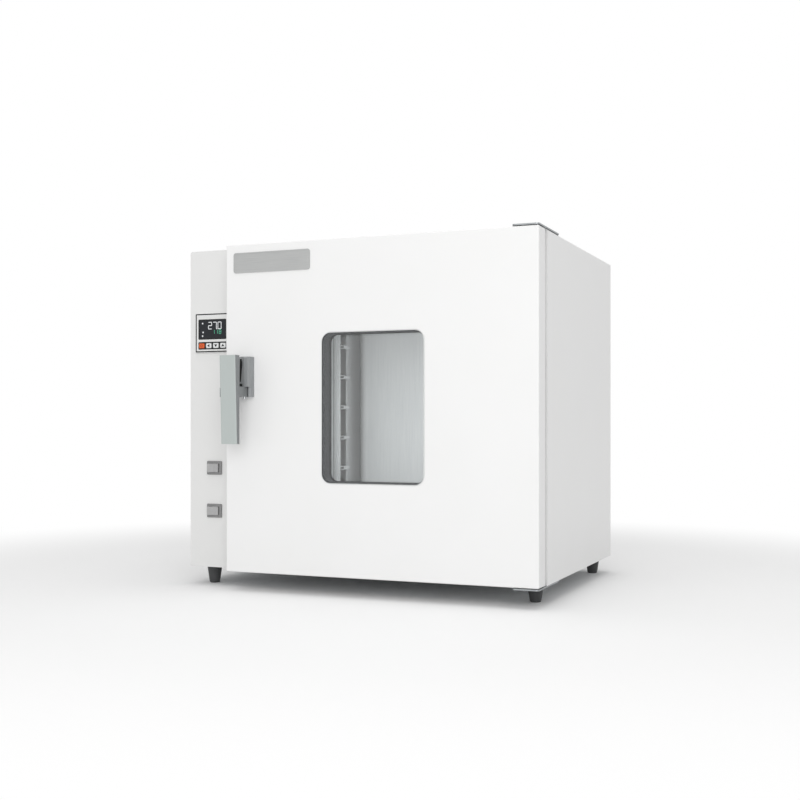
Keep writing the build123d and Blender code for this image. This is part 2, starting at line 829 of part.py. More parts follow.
def make_hinge_bushes():
    bushes = []
    for z0 in (z_door, z_door_top - hinge_pin_length):
        bush = bar_z(x_hinge, y_hinge, hinge_bush_radius, z0, z0 + hinge_pin_length)
        bush -= bar_z(x_hinge, y_hinge, hinge_pin_radius + run_gap, z0 - sheet, z0 + hinge_pin_length + sheet)
        bushes.append(bush)
    return Compound(children=bushes)


def make_hinge_screws():
    screws = []
    for x, y in hinge_screw_places():
        for z0 in (z_top - fold / 2, z_base - hinge_plate_thickness):
            shank = Pos(x, y, z0) * RegularPolygon(hinge_screw_radius, 8)
            screws.append(extrude(shank, fold / 2 + hinge_plate_thickness))
    return Compound(children=screws)


# Door handle

def handle_x(distance):
    return x_door + distance


def handle_y(reach):
    return y_door - reach


def handle_prism(points, z0, z1):
    return plan_prism([(handle_x(x), handle_y(p)) for x, p in points], z_base + z0, z_base + z1)


def make_handle_base():
    # A plate on the door, a cheek down its right side, and above the lever's arm a housing
    # that holds the pin; the housing's front bevels down on both sides
    z0 = handle_base_low
    z1 = z0 + handle_base_height
    left, right = handle_left - handle_plate_inset, handle_base_right
    nose, bevel = handle_nose_reach, handle_nose_bevel
    base = handle_prism([(left, 0), (right, 0), (right, handle_plate), (left, handle_plate)], z0, z1)
    inner = right - handle_cheek
    cheek = [(inner, 0), (right, 0), (right, handle_cheek_reach - bevel / 2), (right - bevel, handle_cheek_reach),
             (inner, handle_cheek_reach)]
    base += handle_prism(cheek, z0, z1)
    housing = [
        (handle_core_left, 0), (right, 0), (right, handle_cheek_reach), (right - bevel, nose),
        (handle_nose_left + bevel, nose), (handle_nose_left, nose - bevel),
        (handle_nose_left, handle_core_reach), (handle_core_left, handle_core_reach)]
    base += handle_prism(housing, z0 + handle_arm + seat_gap, z1)
    top = z_base + z1
    crown = [edge for edge in base.edges().filter_by(Axis.X)
             if abs(edge.center().Z - top) < run_gap and edge.center().Y < handle_y(nose) + run_gap]
    base = chamfer(crown, bevel)
    return base - bar_z(
        handle_x(handle_pin_x), handle_y(handle_pin_reach), handle_pin_radius + run_gap,
        z_base + z0, z_base + z0 + handle_arm + handle_pin_grip + seat_gap)


def handle_arm_span():
    low = z_base + handle_base_low
    return low, low + handle_arm


def make_handle_lever():
    # The grip's section leans back towards its lower end
    low, high = z_base + handle_low, z_base + handle_low + handle_length
    section = [
        (handle_y(handle_back), low), (handle_y(handle_reach - handle_lean), low),
        (handle_y(handle_reach), high), (handle_y(handle_back), high),
    ]
    x0 = handle_x(handle_left)
    side_plane = Plane(origin=(x0, 0, 0), x_dir=(0, 1, 0), z_dir=(1, 0, 0))
    grip = extrude(side_plane * make_face(Polyline(*section, close=True)), handle_width)
    front_edges = [
        edge for edge in grip.edges()
        if edge.length > handle_width + 1 and edge.center().Y < handle_y(handle_back + handle_lean)]
    grip = fillet(front_edges, door_edge)
    x_pin, y_pin = handle_x(handle_pin_x), handle_y(handle_pin_reach)
    z0, z1 = handle_arm_span()
    boss = bar_z(x_pin, y_pin, handle_boss_radius, z0, z1)
    arm = block(
        x_pin - handle_arm_width / 2, x_pin + handle_arm_width / 2, handle_y(handle_back) - sheet, y_pin, z0, z1)
    # The tail runs over the base's plate and then down to the catch beside the door's edge
    z_mid = (z0 + z1) / 2 - z_base
    half = handle_tail_height / 2
    tip, heel = -handle_tail_overhang, handle_left - 2 * handle_plate_inset
    under, over = handle_tail_gap, handle_tail_thickness
    tail = handle_prism(
        [(tip, under), (heel, handle_plate + under), (handle_pin_x, handle_pin_reach - over),
         (handle_pin_x, handle_pin_reach + over), (heel, handle_plate + under + over), (tip, under + over)],
        z_mid - half, z_mid + half)
    lever = grip + boss + arm + tail
    return lever - bar_z(x_pin, y_pin, handle_pin_radius + run_gap, z0 - sheet, z1 + sheet)


def make_handle_pin():
    z0, z1 = handle_arm_span()
    pin = bar_z(
        handle_x(handle_pin_x), handle_y(handle_pin_reach), handle_pin_radius,
        z0 - handle_pin_below, z1 + handle_pin_grip)
    return chamfer(pin.edges().sort_by(Axis.Z)[0], sheet / 2)


def make_latch_keeper():
    # A bracket on the cabinet that carries the catch magnet behind the lever's tail
    z0, z1 = handle_arm_span()
    z_mid = (z0 + z1) / 2
    half = handle_tail_height / 2
    x0, x1 = x_door - handle_tail_overhang, x_door - door_edge
    arm = block(x0, x1, y_door + seat_gap, y_front, z_mid - half, z_mid + half)
    foot = block(x0 - fold, x1, y_front - 2 * sheet, y_front, z_mid - half, z_mid + half)
    keeper = arm + foot
    return fillet(edges_along(keeper, Axis.Z, lambda c: c.Y < y_door + 1), sheet)


# Controller and switches on the control panel

def controller_centre():
    x = x_left + controller_left + controller_size / 2
    return x, z_base + controller_low + controller_size / 2


def key_places():
    x, z = controller_centre()
    first = x - (key_count - 1) / 2 * key_pitch
    z_keys = z - controller_size / 2 + key_strip_low + key_strip_height / 2
    return [(first + index * key_pitch, z_keys) for index in range(key_count)]


def lens_box(grow, y0, y1):
    x, z = controller_centre()
    half = controller_size / 2
    z1 = z + half - lens_drop
    return front_panel(
        x - half + lens_inset - grow, x + half - lens_inset + grow,
        z1 - lens_height - grow, z1 + grow, y0, y1, bezel_corner)


def make_controller_bezel():
    x, z = controller_centre()
    half = controller_size / 2
    y0 = y_front - controller_stand
    bezel = front_panel(x - half, x + half, z - half, z + half, y0, y_front, bezel_corner)
    bezel = chamfer(bezel.faces().sort_by(Axis.Y)[0].edges(), bezel_edge)
    bezel -= lens_box(run_gap, y0 - sheet, y0 + 2 * sheet)
    z0 = z - half + key_strip_low
    bezel -= front_panel(
        x - half + lens_inset, x + half - lens_inset, z0, z0 + key_strip_height,
        y0 - sheet, y0 + sheet / 2, key_corner)
    grow = run_gap * 2
    for x_key, z_key in key_places():
        bezel -= front_panel(
            x_key - key_width / 2 - grow, x_key + key_width / 2 + grow,
            z_key - key_height / 2 - grow, z_key + key_height / 2 + grow,
            y0 - sheet, y_front - sheet, key_corner + grow)
    return bezel


def make_display_lens():
    y0 = y_front - controller_stand
    return lens_box(0, y0 + seat_gap, y0 + 2 * sheet)


def make_key(index):
    x, z = key_places()[index]
    y0 = y_front - controller_stand - seat_gap
    y1 = y_front - sheet - key_travel - seat_gap
    key = front_panel(
        x - key_width / 2, x + key_width / 2, z - key_height / 2, z + key_height / 2, y0, y1, key_corner)
    return chamfer(key.faces().sort_by(Axis.Y)[0].edges(), key_edge)


def make_controller_case():
    # The case behind the panel, with three rows of plug-in terminals in its open back
    x, z = controller_centre()
    half = controller_cutout / 2 - seat_gap
    y1 = y_front + controller_depth
    case = block(x - half, x + half, y_front, y1, z - half, z + half)
    rim = half - 3 * sheet
    case -= block(x - rim, x + rim, y1 - 2 * sheet, y1 + sheet, z - rim, z + rim)
    for row in (-1, 0, 1):
        z_row = z + row * half / 2
        case += block(
            x - rim + sheet, x + rim - sheet, y1 - 2 * sheet, y1,
            z_row - socket_height / 2, z_row + socket_height / 2)
    return case


def rocker_x():
    return x_left + rocker_centre


def rocker_heights():
    return [z_base + rocker_lower, z_base + rocker_upper]


def rocker_cutout():
    return rocker_width - 2 * rocker_flange, rocker_height - 2 * rocker_flange


def make_rocker_frame(z):
    x = rocker_x()
    wide, high = rocker_width / 2, rocker_height / 2
    y0 = y_front - rocker_flange
    flange = front_panel(x - wide, x + wide, z - high, z + high, y0, y_front, bezel_corner)
    flange = chamfer(flange.faces().sort_by(Axis.Y)[0].edges(), bezel_edge)
    cut_wide, cut_high = rocker_cutout()
    y1 = y_front + rocker_body_depth
    body = block(
        x - cut_wide / 2 + seat_gap, x + cut_wide / 2 - seat_gap, y_front, y1,
        z - cut_high / 2 + seat_gap, z + cut_high / 2 - seat_gap)
    well = block(
        x - cut_wide / 2 + rocker_wall, x + cut_wide / 2 - rocker_wall,
        y0 - sheet, y_front + rocker_body_depth / 2,
        z - cut_high / 2 + rocker_wall, z + cut_high / 2 - rocker_wall)
    frame = flange + body - well
    thick, wide = blade_thickness / 2, blade_width / 2
    for side in (-blade_offset, blade_offset):
        frame += block(x + side - thick, x + side + thick, y1 - sheet, y1 + blade_reach, z - wide, z + wide)
    return frame


def make_rocker(z):
    # Seen from above: two flats that meet in a shallow valley, the left one raised
    x = rocker_x()
    cut_wide, cut_high = rocker_cutout()
    half = cut_wide / 2 - rocker_wall - 3 * seat_gap
    side = half * 0.9
    pivot = y_front - rocker_pivot_depth
    rise = 2 * half * sin(radians(rocker_tilt))
    front = y_front - rocker_flange - rocker_wall
    outline = make_face([
        Line((x - half, front - rise - rocker_wall), (x - side, front - rise - 2 * rocker_wall)),
        Line((x - side, front - rise - 2 * rocker_wall), (x, front - rocker_wall / 2)),
        Line((x, front - rocker_wall / 2), (x + side, front)),
        Line((x + side, front), (x + side, pivot + rocker_wall)),
        ThreePointArc(
            (x + side, pivot + rocker_wall), (x, pivot + rocker_root), (x - side, pivot + 2 * rocker_wall)),
        Line((x - side, pivot + 2 * rocker_wall), (x - half, front - rise - rocker_wall)),
    ])
    deep = cut_high / 2 - rocker_wall - seat_gap
    return extrude(Pos(0, 0, z - deep) * outline, 2 * deep)


def make_relay():
    # A solid-state relay on its finned heat sink, on the partition's column side
    x1 = x_partition
    x_plate = x1 - sink_plate
    y0 = y_rear - wiring_back - sink_length / 2
    z0 = z_base + relay_low
    relay = block(x_plate, x1, y0, y0 + sink_length, z0, z0 + sink_height)
    pitch = (sink_length - base_sheet) / (sink_fins - 1)
    for fin in range(sink_fins):
        y = y0 + fin * pitch
        relay += block(x_plate - sink_fin_reach, x_plate, y, y + base_sheet, z0, z0 + sink_fin_height)
    y = y0 + (sink_length - relay_width) / 2
    z1 = z0 + sink_height - base_sheet
    return relay + block(x_plate - relay_depth, x_plate, y, y + relay_width, z1 - relay_height, z1)


def make_terminal_block():
    x1 = x_partition
    y0 = y_rear - wiring_back - terminal_length / 2
    z0 = z_base + terminal_low
    strip = block(x1 - terminal_depth, x1, y0, y0 + terminal_length, z0, z0 + terminal_height)
    half = terminal_pocket / 2
    z = z0 + terminal_height / 2
    for way in range(terminal_ways):
        y = y0 + (way + 0.5) * terminal_length / terminal_ways
        strip -= block(
            x1 - terminal_depth - sheet, x1 - terminal_depth + terminal_pocket,
            y - half, y + half, z - half, z + half)
    return strip


# Feet, vent and fittings on the back

def make_foot(name):
    x, y = foot_places()[name]
    top = z_base - (hinge_plate_thickness if name == "front_right" else 0)
    stud_top = z_base + fold / 2
    profile = make_face(Polyline(
        (0, 0), (foot_bottom_radius - foot_edge, 0), (foot_bottom_radius, foot_edge),
        (foot_top_radius, top - foot_edge), (foot_top_radius, top), (foot_stud_radius, top),
        (foot_stud_radius, stud_top), (0, stud_top), close=True))
    return Pos(x, y, 0) * revolve(Plane.XZ * profile, Axis.Z)


def make_vent_tube():
    z0 = z_chamber_1
    z1 = z_top + vent_stand
    tube = bar_z(x_vent, y_vent, vent_radius, z0, z1) - bar_z(
        x_vent, y_vent, vent_radius - vent_wall, z0 - sheet, z1 + sheet)
    flange = bar_z(x_vent, y_vent, vent_flange_radius, z_top, z_top + 2 * sheet)
    flange -= bar_z(x_vent, y_vent, vent_radius - vent_wall, z_top - sheet, z_top + 3 * sheet)
    tube += flange
    # A bridge across the mouth carries the cap's stem
    tube += block(
        x_vent - vent_radius + vent_wall / 2, x_vent + vent_radius - vent_wall / 2,
        y_vent - vent_bridge / 2, y_vent + vent_bridge / 2, z1 - 3 * sheet, z1)
    return tube + bar_z(x_vent, y_vent, vent_stem_radius, z1 - sheet, vent_stem_top())


def vent_stem_top():
    return z_top + vent_stand + vent_cap_height / 2


def make_vent_cap():
    z0 = z_top + vent_stand + seat_gap
    z1 = z0 + vent_cap_height
    cap = bar_z(x_vent, y_vent, vent_cap_radius, z0, z1)
    cap = chamfer(cap.edges().filter_by(GeomType.CIRCLE).sort_by(Axis.Z)[-1], vent_cap_edge)
    z_roof = z1 - vent_cap_edge
    cap -= bar_z(x_vent, y_vent, vent_cap_radius - vent_cap_wall, z0 - sheet, z_roof)
    cap += bar_z(x_vent, y_vent, vent_hub_radius, z0, z_roof)
    slot = Rectangle(3 * vent_cap_wall, vent_slot_width)
    slots = ring_of(Pos(x_vent, y_vent, z0 + vent_cap_wall), vent_cap_radius, vent_slots, slot)
    cap -= extrude(slots, vent_slot_height)
    half = vent_cap_radius * 0.7
    grip = block(
        x_vent - half, x_vent + half, y_vent - vent_grip / 2, y_vent + vent_grip / 2,
        z1 - sheet, z1 + vent_grip_rise)
    cap += chamfer(grip.edges().filter_by(Axis.Y), vent_cap_wall)
    return cap - bar_z(x_vent, y_vent, vent_stem_radius + run_gap, z0 - sheet, vent_stem_top() + seat_gap)


def gland_place():
    return x_left + gland_side, z_base + gland_low


def fuse_place():
    return x_left + gland_side, z_base + fuse_low


def make_cable_gland():
    x, z = gland_place()
    y0 = y_rear - gland_inside
    y1 = y_rear + gland_reach
    y_outside = y_rear + sheet
    dome = bar_y(x, z, gland_radius, y_outside, y1)
    gland = chamfer(dome.edges().filter_by(GeomType.CIRCLE).sort_by(Axis.Y)[-1], gland_nut / 2)
    gland += bar_y(x, z, gland_radius - 2, y0, y_outside)
    nut = Pos(x, z) * RegularPolygon(gland_radius + 2, 6)
    for y in (y_rear, y_outside + gland_nut):
        gland += extrude(front_plane(y) * nut, gland_nut)
    return gland - bar_y(x, z, gland_bore, y0 - sheet, y1 + sheet)


def make_fuse_holder():
    x, z = fuse_place()
    y_flange = y_rear + sheet + fuse_flange
    y1 = y_rear + fuse_reach
    holder = bar_y(x, z, fuse_radius - 1, y_rear - fuse_inside, y_rear + sheet)
    holder += bar_y(x, z, fuse_radius + base_sheet, y_rear + sheet, y_flange)
    cap = bar_y(x, z, fuse_radius, y_flange, y1)
    holder += chamfer(cap.edges().filter_by(GeomType.CIRCLE).sort_by(Axis.Y)[-1], sheet)
    half = fuse_radius * 0.8
    return holder - block(x - half, x + half, y1 - base_sheet, y1 + sheet, z - base_sheet / 2, z + base_sheet / 2)


# Every sub-part under its own name

def build_nodes():
    nodes = {
        "outer_wrap": make_outer_wrap(),
        "base_tray": make_base_tray(),
        "front_frame": make_front_frame(),
        "control_panel": make_control_panel(),
        "rear_panel": make_rear_panel(),
        "partition_panel": make_partition(),
        "chamber_liner": make_chamber_liner(),
        "cabinet_insulation": make_insulation(),
        "door_gasket": make_gasket(),
        "air_duct_panel": make_duct_panel(),
        "fan_wheel": make_fan_wheel(),
        "fan_shaft": make_fan_shaft(),
        "fan_motor": make_fan_motor(),
        "motor_bracket": make_motor_bracket(),
        "heater_elements": make_heaters(),
        "temperature_probe": make_probe(),
        "shelf_rail_front_left": make_rail(x_chamber_0, 1, rail_front),
        "shelf_rail_rear_left": make_rail(x_chamber_0, 1, rail_rear),
        "shelf_rail_front_right": make_rail(x_chamber_1, -1, rail_front),
        "shelf_rail_rear_right": make_rail(x_chamber_1, -1, rail_rear),
        "wire_shelf_lower": make_shelf(0),
        "wire_shelf_upper": make_shelf(rail_levels - 1),
        "door_shell": make_door_shell(),
        "door_inner_panel": make_door_inner_panel(),
        "door_insulation": make_door_insulation(),
        "window_reveal": make_window_reveal(),
        "outer_glass": make_outer_glass(),
        "inner_glass": make_inner_glass(),
        "nameplate": make_nameplate(),
        "hinge_plate_top": make_hinge_plate(z_top, False),
        "hinge_plate_bottom": make_hinge_plate(z_base - hinge_plate_thickness, True),
        "hinge_pin_top": make_hinge_pin(True),
        "hinge_pin_bottom": make_hinge_pin(False),
        "hinge_bushes": make_hinge_bushes(),
        "hinge_screws": make_hinge_screws(),
        "handle_base": make_handle_base(),
        "handle_lever": make_handle_lever(),
        "handle_pin": make_handle_pin(),
        "latch_keeper": make_latch_keeper(),
        "controller_bezel": make_controller_bezel(),
        "controller_case": make_controller_case(),
        "display_lens": make_display_lens(),
        "rocker_frame_lower": make_rocker_frame(rocker_heights()[0]),
        "rocker_frame_upper": make_rocker_frame(rocker_heights()[1]),
        "rocker_lower": make_rocker(rocker_heights()[0]),
        "rocker_upper": make_rocker(rocker_heights()[1]),
        "relay": make_relay(),
        "terminal_block": make_terminal_block(),
        "vent_tube": make_vent_tube(),
        "vent_cap": make_vent_cap(),
        "cable_gland": make_cable_gland(),
        "fuse_holder": make_fuse_holder(),
    }
    for index in range(key_count):
        nodes[f"key_{index + 1}"] = make_key(index)
    for name in foot_places():
        nodes[f"foot_{name}"] = make_foot(name)
    return nodes


os.makedirs("parts", exist_ok=True)
for node, shape in build_nodes().items():
    export_step(shape, f"parts/{node}.step")
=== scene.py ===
import bmesh
import bpy
from math import pi, radians
from mathutils import Matrix, Vector


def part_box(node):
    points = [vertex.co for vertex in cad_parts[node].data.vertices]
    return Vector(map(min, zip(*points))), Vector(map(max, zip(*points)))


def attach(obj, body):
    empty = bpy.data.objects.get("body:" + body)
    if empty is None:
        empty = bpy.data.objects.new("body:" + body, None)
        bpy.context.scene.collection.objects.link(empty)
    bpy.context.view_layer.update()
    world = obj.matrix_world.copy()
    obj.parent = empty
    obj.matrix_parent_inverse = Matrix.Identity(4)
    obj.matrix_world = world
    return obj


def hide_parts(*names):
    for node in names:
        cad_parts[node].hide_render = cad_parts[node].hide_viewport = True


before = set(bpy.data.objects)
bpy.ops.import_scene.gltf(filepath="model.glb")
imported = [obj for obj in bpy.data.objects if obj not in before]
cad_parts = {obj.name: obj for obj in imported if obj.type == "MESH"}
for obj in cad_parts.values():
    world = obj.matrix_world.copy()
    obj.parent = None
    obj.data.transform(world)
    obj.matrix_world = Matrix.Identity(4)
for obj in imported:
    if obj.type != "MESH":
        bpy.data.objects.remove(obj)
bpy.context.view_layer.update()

# Bench, room light and camera.
# The oven stands on a white laminate bench in a white room, in soft light from the front and from
# above. A weak lamp in the chamber's mouth does what the room does through the window. The camera
# stands at the right, a little below half the oven's height.

MM = 0.001


def linear(hex_colour):
    parts = [int(hex_colour[i:i + 2], 16) / 255 for i in (1, 3, 5)]
    return tuple(v / 12.92 if v <= 0.04045 else ((v + 0.055) / 1.055) ** 2.4 for v in parts) + (1.0,)


def add(tree, kind, values=None, links=None, **settings):
    made = tree.nodes.new("ShaderNode" + kind)
    for name, value in settings.items():
        setattr(made, name, value)
    for socket, value in (values or {}).items():
        made.inputs[socket].default_value = value
    for socket, source in (links or {}).items():
        tree.links.new(source, made.inputs[socket])
    return made


def new_material(name):
    made = bpy.data.materials.new(name)
    made.use_nodes = True
    made.node_tree.nodes.clear()
    return made, made.node_tree


def as_object(name, mesh_maker, material, body=None, smooth=35):
    # mesh_maker fills a bmesh in metres; faces flatter than the smooth angle share a soft edge
    bm = bmesh.new()
    mesh_maker(bm)
    mesh = bpy.data.meshes.new(name)
    bm.to_mesh(mesh)
    bm.free()
    mesh.materials.append(material)
    made = bpy.data.objects.new(name, mesh)
    bpy.context.scene.collection.objects.link(made)
    if smooth:
        mesh.shade_smooth()
        mesh.set_sharp_from_angle(angle=radians(smooth))
    if body:
        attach(made, body)
    return made


def seen_directly(tree):
    # 1 for what the camera sees, straight on, in gloss or through glass, and 0 for bounced light
    path = add(tree, "LightPath").outputs
    seen = add(tree, "Math", links={0: path["Is Camera Ray"], 1: path["Is Glossy Ray"]}, operation="MAXIMUM")
    return add(tree, "Math", links={0: seen.outputs[0], 1: path["Is Transmission Ray"]},
               operation="MAXIMUM").outputs[0]


bench_reach = 12.0
shadow_reach, white_from = 0.75, 1.5


def bench_mesh(bm):
    bmesh.ops.create_grid(bm, x_segments=1, y_segments=1, size=bench_reach)


# Matt white laminate: it keeps the shadow near the oven, and for the camera, gloss and glass it
# runs into the white of the room further out
bench_white, tree = new_material("white_laminate_matt")
seen = seen_directly(tree)
tone = add(tree, "Mix", {6: linear("#E4E4E4"), 7: linear("#FFFFFF")}, {0: seen}, data_type="RGBA")
face = add(tree, "BsdfDiffuse", links={"Color": tone.outputs[2]})
away = add(tree, "VectorMath", links={0: add(tree, "TexCoord").outputs["Object"]}, operation="LENGTH")
away = add(tree, "MapRange", {"From Min": shadow_reach, "From Max": white_from},
           {"Value": away.outputs["Value"]}, interpolation_type="SMOOTHSTEP")
away = add(tree, "Math", links={0: away.outputs[0], 1: seen}, operation="MULTIPLY")
glow = add(tree, "Emission", {"Color": linear("#FFFFFF")})
top = add(tree, "MixShader", links={0: away.outputs[0], 1: face.outputs[0], 2: glow.outputs[0]})
add(tree, "OutputMaterial", links={"Surface": top.outputs[0]})
bench = as_object("bench", bench_mesh, bench_white, smooth=0)

world = bpy.data.worlds.new("room")
bpy.context.scene.world = world
world.use_nodes = True
tree = world.node_tree
tree.nodes.clear()
room_light, white = 0.58, 1.0
level = add(tree, "MapRange", {"To Min": room_light, "To Max": white}, {"Value": seen_directly(tree)})
room = add(tree, "Background", {"Color": linear("#FFFFFF")}, {"Strength": level.outputs[0]})
add(tree, "OutputWorld", links={"Surface": room.outputs[0]})

liner_low, liner_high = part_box("chamber_liner")
chamber_middle = ((liner_low[0] + liner_high[0]) / 2, (liner_low[2] + liner_high[2]) / 2)
mouth = (chamber_middle[0], liner_low[1] + 5.7 * MM, chamber_middle[1])
for name, place, target, size, power in (
        ("front_light", (1.05, -3.05, 1.05), (0.0, -0.2, 0.3), 2.2, 38.0),
        ("room_light", (0.2, -0.4, 3.0), (0.0, 0.0, 0.3), 2.5, 22.0),
        ("chamber_light", mouth, (mouth[0], liner_high[1], mouth[2]), 0.42, 0.35)):
    lamp = bpy.data.lights.new(name, "AREA")
    lamp.shape = "SQUARE"
    lamp.size = size
    lamp.energy = power
    holder = bpy.data.objects.new(name, lamp)
    holder.location = place
    holder.rotation_euler = (Vector(target) - Vector(place)).to_track_quat("-Z", "Y").to_euler()
    holder.visible_camera = False
    holder.visible_transmission = False
    bpy.context.scene.collection.objects.link(holder)

# The photograph's frame is 800 px wide, and its lens, 1163 px long, is shifted up by 21 px
frame_px, focal_px, shift_px = 800, 1163.0, 21.04
camera_place = (0.8496, -2.0239, 0.3006)
camera_turn = 22.76
lens = bpy.data.cameras.new("camera")
lens.sensor_width = 36.0
lens.lens = lens.sensor_width * focal_px / frame_px
lens.shift_y = shift_px / frame_px
camera = bpy.data.objects.new("camera", lens)
camera.location = camera_place
camera.rotation_euler = (radians(90), 0, radians(camera_turn))
bpy.context.scene.collection.objects.link(camera)
bpy.context.scene.camera = camera
bpy.context.scene.view_settings.view_transform = "Standard"

# Painted cabinet and door.
# Cold-rolled steel panels, folded and welded, with a baked white powder coat: slightly
# glossy, with the fine orange peel that a powder coat keeps.


def dress(material, *names):
    for name in names:
        for material_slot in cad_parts[name].material_slots:
            material_slot.material = material


def bump_from(tree, height, strength, depth_mm):
    return add(tree, "Bump", {"Strength": strength, "Distance": depth_mm * MM}, {"Height": height})


def powder_coat(name, dark, pale):
    # Orange peel lumps of 2.5 mm, and slow changes of tone over 150 mm
    made, tree = new_material(name)
    at = add(tree, "TexCoord").outputs["Object"]
    peel = add(tree, "TexNoise", {"Scale": 1 / (2.5 * MM), "Detail": 1.0}, {"Vector": at})
    drift = add(tree, "TexNoise", {"Scale": 1 / (150 * MM), "Detail": 2.0}, {"Vector": at})
    tone = add(tree, "ValToRGB", links={"Fac": drift.outputs["Fac"]})
    tone.color_ramp.elements[0].color = linear(dark)
    tone.color_ramp.elements[1].color = linear(pale)
    gloss = add(tree, "MapRange", {"To Min": 0.32, "To Max": 0.42}, {"Value": drift.outputs["Fac"]})
    skin = bump_from(tree, peel.outputs["Fac"], 0.06, 0.05)
    paint = add(tree, "BsdfPrincipled", {"Specular IOR Level": 0.4}, {
        "Base Color": tone.outputs[0], "Roughness": gloss.outputs[0], "Normal": skin.outputs[0]})
    add(tree, "OutputMaterial", links={"Surface": paint.outputs[0]})
    return made


# Painted shade: the control column's panel, set back behind the door's edge, is painted a little greyer than
# the rest
powder_white = powder_coat("powder_coated_steel_white", "#F2F2F1", "#F6F6F6")
powder_white_shaded = powder_coat("powder_coated_steel_white_shaded", "#E7E7E6", "#EBEBEA")
dress(powder_white, "outer_wrap", "front_frame", "rear_panel", "door_shell", "door_inner_panel")
dress(powder_white_shaded, "control_panel")

# Zinc-plated inner steel.
# The base tray, the partition and the motor's bracket are plated sheet that nobody sees in
# use: pale grey metal with a faint crystal pattern.

zinc_plate, tree = new_material("zinc_plated_steel")
at = add(tree, "TexCoord").outputs["Object"]
crystals = add(tree, "TexVoronoi", {"Scale": 1 / (9 * MM)}, {"Vector": at})
tone = add(tree, "ValToRGB", links={"Fac": crystals.outputs["Distance"]})
tone.color_ramp.elements[0].color = linear("#B9BCBE")
tone.color_ramp.elements[1].color = linear("#CDD0D1")
gloss = add(tree, "MapRange", {"To Min": 0.34, "To Max": 0.5}, {"Value": crystals.outputs["Distance"]})
plate = add(tree, "BsdfPrincipled", {"Metallic": 1.0}, {
    "Base Color": tone.outputs[0], "Roughness": gloss.outputs[0]})
add(tree, "OutputMaterial", links={"Surface": plate.outputs[0]})
dress(zinc_plate, "base_tray", "partition_panel", "motor_bracket")

# Heating chamber.
# The liner, the air duct and the rails are folded from stainless sheet, brushed up and down. The
# liner's back corners and the duct's bends are painted dark: painted shade, where the corners fall
# in shadow. The rails have a slot punched above and below each tab, and a seam in front; dark
# strips laid in them are painted shade.


def brushed(name, dark, pale, grain, roughness, length_mm=60, width_mm=0.7, shade_mask=None, metallic=1.0):
    # grain is the axis along which the brush went; shade_mask gives 1 where no painted shade darkens the
    # sheet
    made, tree = new_material(name)
    at = add(tree, "TexCoord").outputs["Object"]
    stretch = [1 / (width_mm * MM)] * 3
    stretch[grain] = 1 / (length_mm * MM)
    across = add(tree, "Mapping", {"Scale": stretch}, {"Vector": at})
    lines = add(tree, "TexNoise", {"Scale": 1.0, "Detail": 3.0}, {"Vector": across.outputs[0]})
    clouds = add(tree, "TexNoise", {"Scale": 1 / (80 * MM), "Detail": 2.0}, {"Vector": at})
    tone = add(tree, "ValToRGB", links={"Fac": lines.outputs["Fac"]})
    tone.color_ramp.elements[0].position = 0.3
    tone.color_ramp.elements[1].position = 0.7
    tone.color_ramp.elements[0].color = linear(dark)
    tone.color_ramp.elements[1].color = linear(pale)
    colour = tone.outputs[0]
    if shade_mask:
        # Painted shade: the sheet is mixed towards this dark grey where the mask falls to 0
        colour = add(tree, "Mix", {6: linear("#2B2A29")}, {0: shade_mask(tree, at), 7: colour},
                     data_type="RGBA").outputs[2]
    gloss = add(tree, "MapRange", {"To Min": roughness - 0.05, "To Max": roughness + 0.08},
                {"Value": clouds.outputs["Fac"]})
    skin = bump_from(tree, lines.outputs["Fac"], 0.15, 0.05)
    metal = add(tree, "BsdfPrincipled", {"Metallic": metallic, "Anisotropic": 0.4}, {
        "Base Color": colour, "Roughness": gloss.outputs[0], "Normal": skin.outputs[0]})
    add(tree, "OutputMaterial", links={"Surface": metal.outputs[0]})
    return made


def fades(tree, at, axis, centre, bright, dark):
    # 1 up to the distance bright from the centre along the axis, falling to 0 at the distance dark
    place = add(tree, "SeparateXYZ", links={0: at})
    off = add(tree, "Math", {1: centre}, {0: place.outputs[axis]}, operation="SUBTRACT")
    off = add(tree, "Math", links={0: off.outputs[0]}, operation="ABSOLUTE")
    return add(tree, "MapRange", {"From Min": bright, "From Max": dark, "To Min": 1.0, "To Max": 0.0},
               {"Value": off.outputs[0]}, interpolation_type="SMOOTHSTEP").outputs[0]


duct_low, duct_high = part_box("air_duct_panel")
duct_middle = (duct_low[0] + duct_high[0]) / 2
duct_half = (duct_high[0] - duct_low[0]) / 2
liner_half = (liner_high[0] - liner_low[0]) / 2
liner_depth = liner_high[1] - liner_low[1]
corner_dark, corner_pale = 5 * MM, 16 * MM
bend_reach = 18 * MM
# How much of the back wall's own tone shows through the painted shade beside the duct, away from its corners
left_bright = 0.4


def painted_shade_beside_duct(tree, at):
    # Painted shade: only the back wall is darkened, and darkest in its corners
    in_front = fades(tree, at, 1, liner_low[1], liner_depth - 4 * MM, liner_depth - 2 * MM)
    from_corner = fades(tree, at, 0, duct_middle, liner_half - corner_pale, liner_half - corner_dark)
    part = add(tree, "Math", {1: left_bright}, {0: from_corner}, operation="MULTIPLY")
    return add(tree, "Math", links={0: in_front, 1: part.outputs[0]}, operation="MAXIMUM").outputs[0]


def painted_shade_on_bends(tree, at):
    # Painted shade: the duct's face darkens towards its bent edges
    return fades(tree, at, 0, duct_middle, duct_half - bend_reach, duct_half + 5 * MM)


